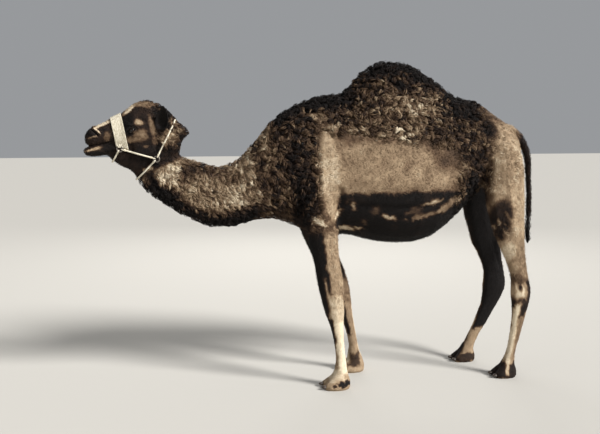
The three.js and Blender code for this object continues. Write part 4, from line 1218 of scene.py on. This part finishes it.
def eyelet(middle, toward, outward):
    """A loop of thin cord round a ring's wire, on the side that the strap comes from."""
    centre = middle + toward * (RING_RADIUS + 1)
    path = [centre + toward * EYELET_LONG * math.cos(a) + outward * EYELET_WIDE * math.sin(a)
            for a in np.linspace(0, 2 * math.pi, EYELET_STEPS + 1)[:-1]]
    sections = [circle(EYELET_RADIUS, 8)] * EYELET_STEPS
    return swept(path, sections, loop=True, start_across=np.cross(toward, outward))


def ring_face(side):
    """The way a ring's flat side faces: out, and a little forward."""
    return unit((-0.1, side, 0))


def tied_end(ring_at, side, first, second):
    """The whipping on a cord's end, and the eyelet that ties it to its ring."""
    outward, ahead = ring_face(side), unit(second - first)
    to_strap = unit((first - ring_at) - outward * ((first - ring_at) @ outward))
    return [whipping(first - ahead * WHIPPING_BACK, ahead), eyelet(ring_at, to_strap, outward)]


# Cotton cord: matt, off-white, greyed by use. The strands are modelled; the nodes add fibres about 1.5 mm
# wide, coarser than real ones, so that they show.
cord_finish, tree, shader = new_material("twisted cotton cord")
fibres = add(tree, "ShaderNodeTexNoise", {"Scale": 700.0, "Detail": 3.0})
dirt = add(tree, "ShaderNodeTexNoise", {"Scale": 22.0, "Detail": 3.0})
mixed = add(tree, "ShaderNodeMath", {"operation": "MULTIPLY_ADD", 1: 0.35},
            {0: fibres.outputs["Fac"], 2: dirt.outputs["Fac"]})
shade = add(tree, "ShaderNodeValToRGB", {"stops": [(0.4, "#9c8f78"), (0.62, "#cfc5ae"), (0.85, "#e6dfcd")]},
            {"Fac": mixed.outputs[0]})
tree.links.new(shade.outputs["Color"], shader.inputs["Base Color"])
bump = add(tree, "ShaderNodeBump", {"Strength": 0.6, "Distance": 0.0006}, {"Height": fibres.outputs["Fac"]})
tree.links.new(bump.outputs["Normal"], shader.inputs["Normal"])
shader.inputs["Roughness"].default_value = 0.9
shader.inputs["Specular IOR Level"].default_value = 0.25

# Cotton webbing: matt white, threads about 1 mm apart drawn 2.5 mm apart so that they show.
THREAD_STEP = 0.0025  # metres
WAVE_STEP = 0.314  # metres from band to band of a wave texture at a scale of 1
webbing_finish, tree, shader = new_material("woven cotton webbing")
place = add(tree, "ShaderNodeUVMap", {"uv_map": "weave"}).outputs["UV"]
waves = []
for direction in ("X", "Y"):
    threads = {"bands_direction": direction, "Scale": WAVE_STEP / THREAD_STEP, "Distortion": 0.4}
    waves.append(add(tree, "ShaderNodeTexWave", threads, {"Vector": place}).outputs["Fac"])
weave = add(tree, "ShaderNodeMath", {"operation": "MULTIPLY"}, {0: waves[0], 1: waves[1]}).outputs[0]
dirt = add(tree, "ShaderNodeTexNoise", {"Scale": 16.0, "Detail": 4.0})
mixed = add(tree, "ShaderNodeMath", {"operation": "MULTIPLY_ADD", 1: 0.25}, {0: weave, 2: dirt.outputs["Fac"]})
shade = add(tree, "ShaderNodeValToRGB", {"stops": [(0.3, "#8f846c"), (0.5, "#bdb39c"), (0.75, "#d8d0bd")]},
            {"Fac": mixed.outputs[0]})
tree.links.new(shade.outputs["Color"], shader.inputs["Base Color"])
bump = add(tree, "ShaderNodeBump", {"Strength": 0.7, "Distance": 0.0006}, {"Height": weave})
tree.links.new(bump.outputs["Normal"], shader.inputs["Normal"])
shader.inputs["Roughness"].default_value = 0.92
shader.inputs["Specular IOR Level"].default_value = 0.25

# Iron rings: dull grey from handling, with brown rust in patches.
iron_finish, tree, shader = new_material("worn iron")
rust = add(tree, "ShaderNodeTexNoise", {"Scale": 90.0, "Detail": 4.0})
shade = add(tree, "ShaderNodeValToRGB", {"stops": [(0.4, "#8a8680"), (0.6, "#6d6154"), (0.75, "#4a3324")]},
            {"Fac": rust.outputs["Fac"]})
tree.links.new(shade.outputs["Color"], shader.inputs["Base Color"])
rough = add(tree, "ShaderNodeMapRange", {"To Min": 0.3, "To Max": 0.7}, {"Value": rust.outputs["Fac"]})
tree.links.new(rough.outputs["Result"], shader.inputs["Roughness"])
shader.inputs["Metallic"].default_value = 0.9

nose_flat, jaw_flat = (NOSE_RING[0], NOSE_RING[2]), (JAW_RING[0], JAW_RING[2])
centres = {}
for side, name in zip(SIDES, ("left", "right")):
    outward = ring_face(side)
    for ring, at in (("nose_ring", NOSE_RING), ("jaw_ring", JAW_RING)):
        middle = np.array((at[0], side * at[1], at[2]))
        centres[ring, side] = middle
        ahead = unit(np.cross(outward, (0, 0, 1)))
        path = [middle + (ahead * math.cos(a) + np.array((0, 0, 1)) * math.sin(a)) * RING_RADIUS
                for a in np.linspace(0, 2 * math.pi, RING_STEPS + 1)[:-1]]
        wire = swept(path, [circle(RING_WIRE, 14)] * RING_STEPS, loop=True, start_across=outward)
        built(f"iron_{ring}_{name}", [wire], iron_finish, [f"{ring}_{name}"])

SPANS = [
    # name, ring, its place, direction of the strap's lowest or highest point, lift off the coat's tips
    ("chin_strap", "nose_ring", nose_flat, flat_unit(nose_flat, CHIN_LOW), CORD_LIFT),
    ("throat_strap", "jaw_ring", jaw_flat, flat_unit(jaw_flat, THROAT_LOW), CORD_LIFT),
    ("crown_strap", "jaw_ring", jaw_flat, flat_unit(jaw_flat, CROWN_TOP), -5),
]
START = RING_RADIUS + 12  # from a ring's middle to where the cord proper begins
for name, ring, middle, toward, sunk in SPANS:
    degrees = np.linspace(-88, 88, 61)
    lifts = sunk + (CORD_LIFT - sunk) * smooth(48, 70, np.abs(degrees))
    line = np.array(round_head(middle, toward, np.radians(degrees), lifts))
    keep = [min(np.linalg.norm(p - centres[ring, side]) for side in SIDES) > START for p in line]
    line = line[keep]
    parts = [cord(line)]
    for side, first, second in ((-1, line[0], line[1]), (1, line[-1], line[-2])):
        parts += tied_end(centres[ring, side], side, first, second)
    built("cord_" + name, parts, cord_finish, [name])

for side, name in zip(SIDES, ("left", "right")):
    line = []
    for t in np.linspace(0, 1, 41):
        x, z = (a + (b - a) * t for a, b in zip(nose_flat, jaw_flat))
        line.append(laid_on(solids, x, z, side) + np.array((0, side, 0)) * CORD_LIFT)
    line = np.array([p for p in line
                     if min(np.linalg.norm(p - centres[r, side]) for r in ("nose_ring", "jaw_ring")) > START])
    parts = [cord(line)]
    for ring, first, second in (("nose_ring", line[0], line[1]), ("jaw_ring", line[-1], line[-2])):
        parts += tied_end(centres[ring, side], side, first, second)
    built("cord_cheek_strap_" + name, parts, cord_finish, ["cheek_strap_" + name])

# The band: a sheet with a rolled hem along both edges, laid over the nose.
BAND_COLUMNS, BAND_ROWS = 18, 90
BAND_INSIDE, BAND_OUTSIDE = 1.5, 4.5  # from the coat's tips to its two faces
BAND_CLEAR = 9  # from the cheek cord's middle to the band's end
HEM_RISE, HEM_IN, HEM_SPREAD = 0.8, 2.5, 2
band_up = flat_unit(BAND_LOW, BAND_TOP)
band_across = np.cross(band_up, (0, 1, 0))
band_middle = np.array(((BAND_TOP[0] + BAND_LOW[0]) / 2, 0, (BAND_TOP[1] + BAND_LOW[1]) / 2))
strap_ahead = flat_unit(nose_flat, jaw_flat)
strap_normal = np.array((-strap_ahead[2], 0, strap_ahead[0]))
strap_normal = strap_normal * np.sign(strap_normal[2])
inner, outer, where = [], [], []
for c in range(BAND_COLUMNS + 1):
    s = (c / BAND_COLUMNS - 0.5) * BAND_WIDTH
    start = band_middle + band_across * s
    # how far below the middle the band stops, just above the cheek cord
    fall = ((start - np.array((nose_flat[0], 0, nose_flat[1]))) @ strap_normal - BAND_CLEAR) / (band_up @ strap_normal)
    low_side = abs(laid_on(solids, *(start - band_up * fall)[[0, 2]], -1)[1])
    last = math.atan2(low_side, -fall)
    hem = HEM_RISE * hill(abs(s), BAND_WIDTH / 2 - HEM_IN, HEM_SPREAD)
    angles = np.linspace(-last, last, BAND_ROWS + 1)
    inner.append(round_head((start[0], start[2]), band_up, angles, BAND_INSIDE - hem * 0.5))
    outer.append(round_head((start[0], start[2]), band_up, angles, BAND_OUTSIDE + hem))
    where.append(s)
inner, outer = np.array(inner), np.array(outer)
for grid in (inner, outer):
    for _ in range(4):
        grid[:, 1:-1] = grid[:, 1:-1] * 0.5 + (grid[:, :-2] + grid[:, 2:]) * 0.25
rows = BAND_ROWS + 1
points = list(outer.reshape(-1, 3)) + list(inner.reshape(-1, 3))
shift = len(outer.reshape(-1, 3))
faces = []
for c in range(BAND_COLUMNS):
    for r in range(BAND_ROWS):
        a, b, d, e = c * rows + r, (c + 1) * rows + r, (c + 1) * rows + r + 1, c * rows + r + 1
        faces += [(a, b, d, e), (a + shift, e + shift, d + shift, b + shift)]
for c in range(BAND_COLUMNS):
    for r in (0, BAND_ROWS):
        a, b = c * rows + r, (c + 1) * rows + r
        faces.append((a, b, b + shift, a + shift))
for r in range(BAND_ROWS):
    for c in (0, BAND_COLUMNS):
        a, b = c * rows + r, c * rows + r + 1
        faces.append((a, b, b + shift, a + shift))
band = built("webbing_noseband", [(points, faces)], webbing_finish, ["noseband"])
along = np.concatenate([[0], np.cumsum(np.linalg.norm(np.diff(outer[BAND_COLUMNS // 2], axis=0), axis=1))]) / 1000
uv = np.array([(along[r], s / 1000) for s in where for r in range(rows)] * 2)
corner_at = read(band.data.loops, "vertex_index", 1, np.int32)[:, 0]
band.data.uv_layers.new(name="weave").data.foreach_set("uv", uv[corner_at].astype(np.float32).ravel())

# Stitches along both hems, and the eyelets that tie the band to its rings.
STITCH, STITCH_STEP, STITCH_IN = 5, 8, 5.5  # length, spacing, and distance in from the edge
STITCH_SHARES = (0, 0.25, 0.5, 0.75, 1)  # where along a stitch its sections lie
STITCH_RADIUS, STITCH_RISE = 0.55, 0.9
FIRST_STITCH, LAST_STITCH = 6, 8  # from the two ends of the hem
stitches = []
for c_share in (STITCH_IN / BAND_WIDTH, 1 - STITCH_IN / BAND_WIDTH):
    at = c_share * BAND_COLUMNS
    low_c = int(at)
    line = outer[low_c] + (outer[low_c + 1] - outer[low_c]) * (at - low_c)
    far = np.concatenate([[0], np.cumsum(np.linalg.norm(np.diff(line, axis=0), axis=1))])
    for start in np.arange(FIRST_STITCH, far[-1] - LAST_STITCH, STITCH_STEP):
        place = [np.array([np.interp(start + STITCH * t, far, line[:, k]) for k in range(3)])
                 for t in STITCH_SHARES]
        out = unit(place[2] - np.array((place[2][0], 0, band_middle[2])))
        path = [p + out * STITCH_RISE * (math.sin(math.pi * t) - 0.5) for p, t in zip(place, STITCH_SHARES)]
        stitches.append(swept(path, [circle(STITCH_RADIUS, 6)] * len(STITCH_SHARES)))
built("noseband_stitches", stitches, cord_finish)
ties = []
for side in SIDES:
    for lean in (-0.35, 0.1, 0.55):
        toward = unit(band_up + band_across * lean * np.sign(band_across[0]))
        ties.append(eyelet(centres["nose_ring", side], unit(toward), ring_face(side)))
built("noseband_ties", ties, cord_finish)
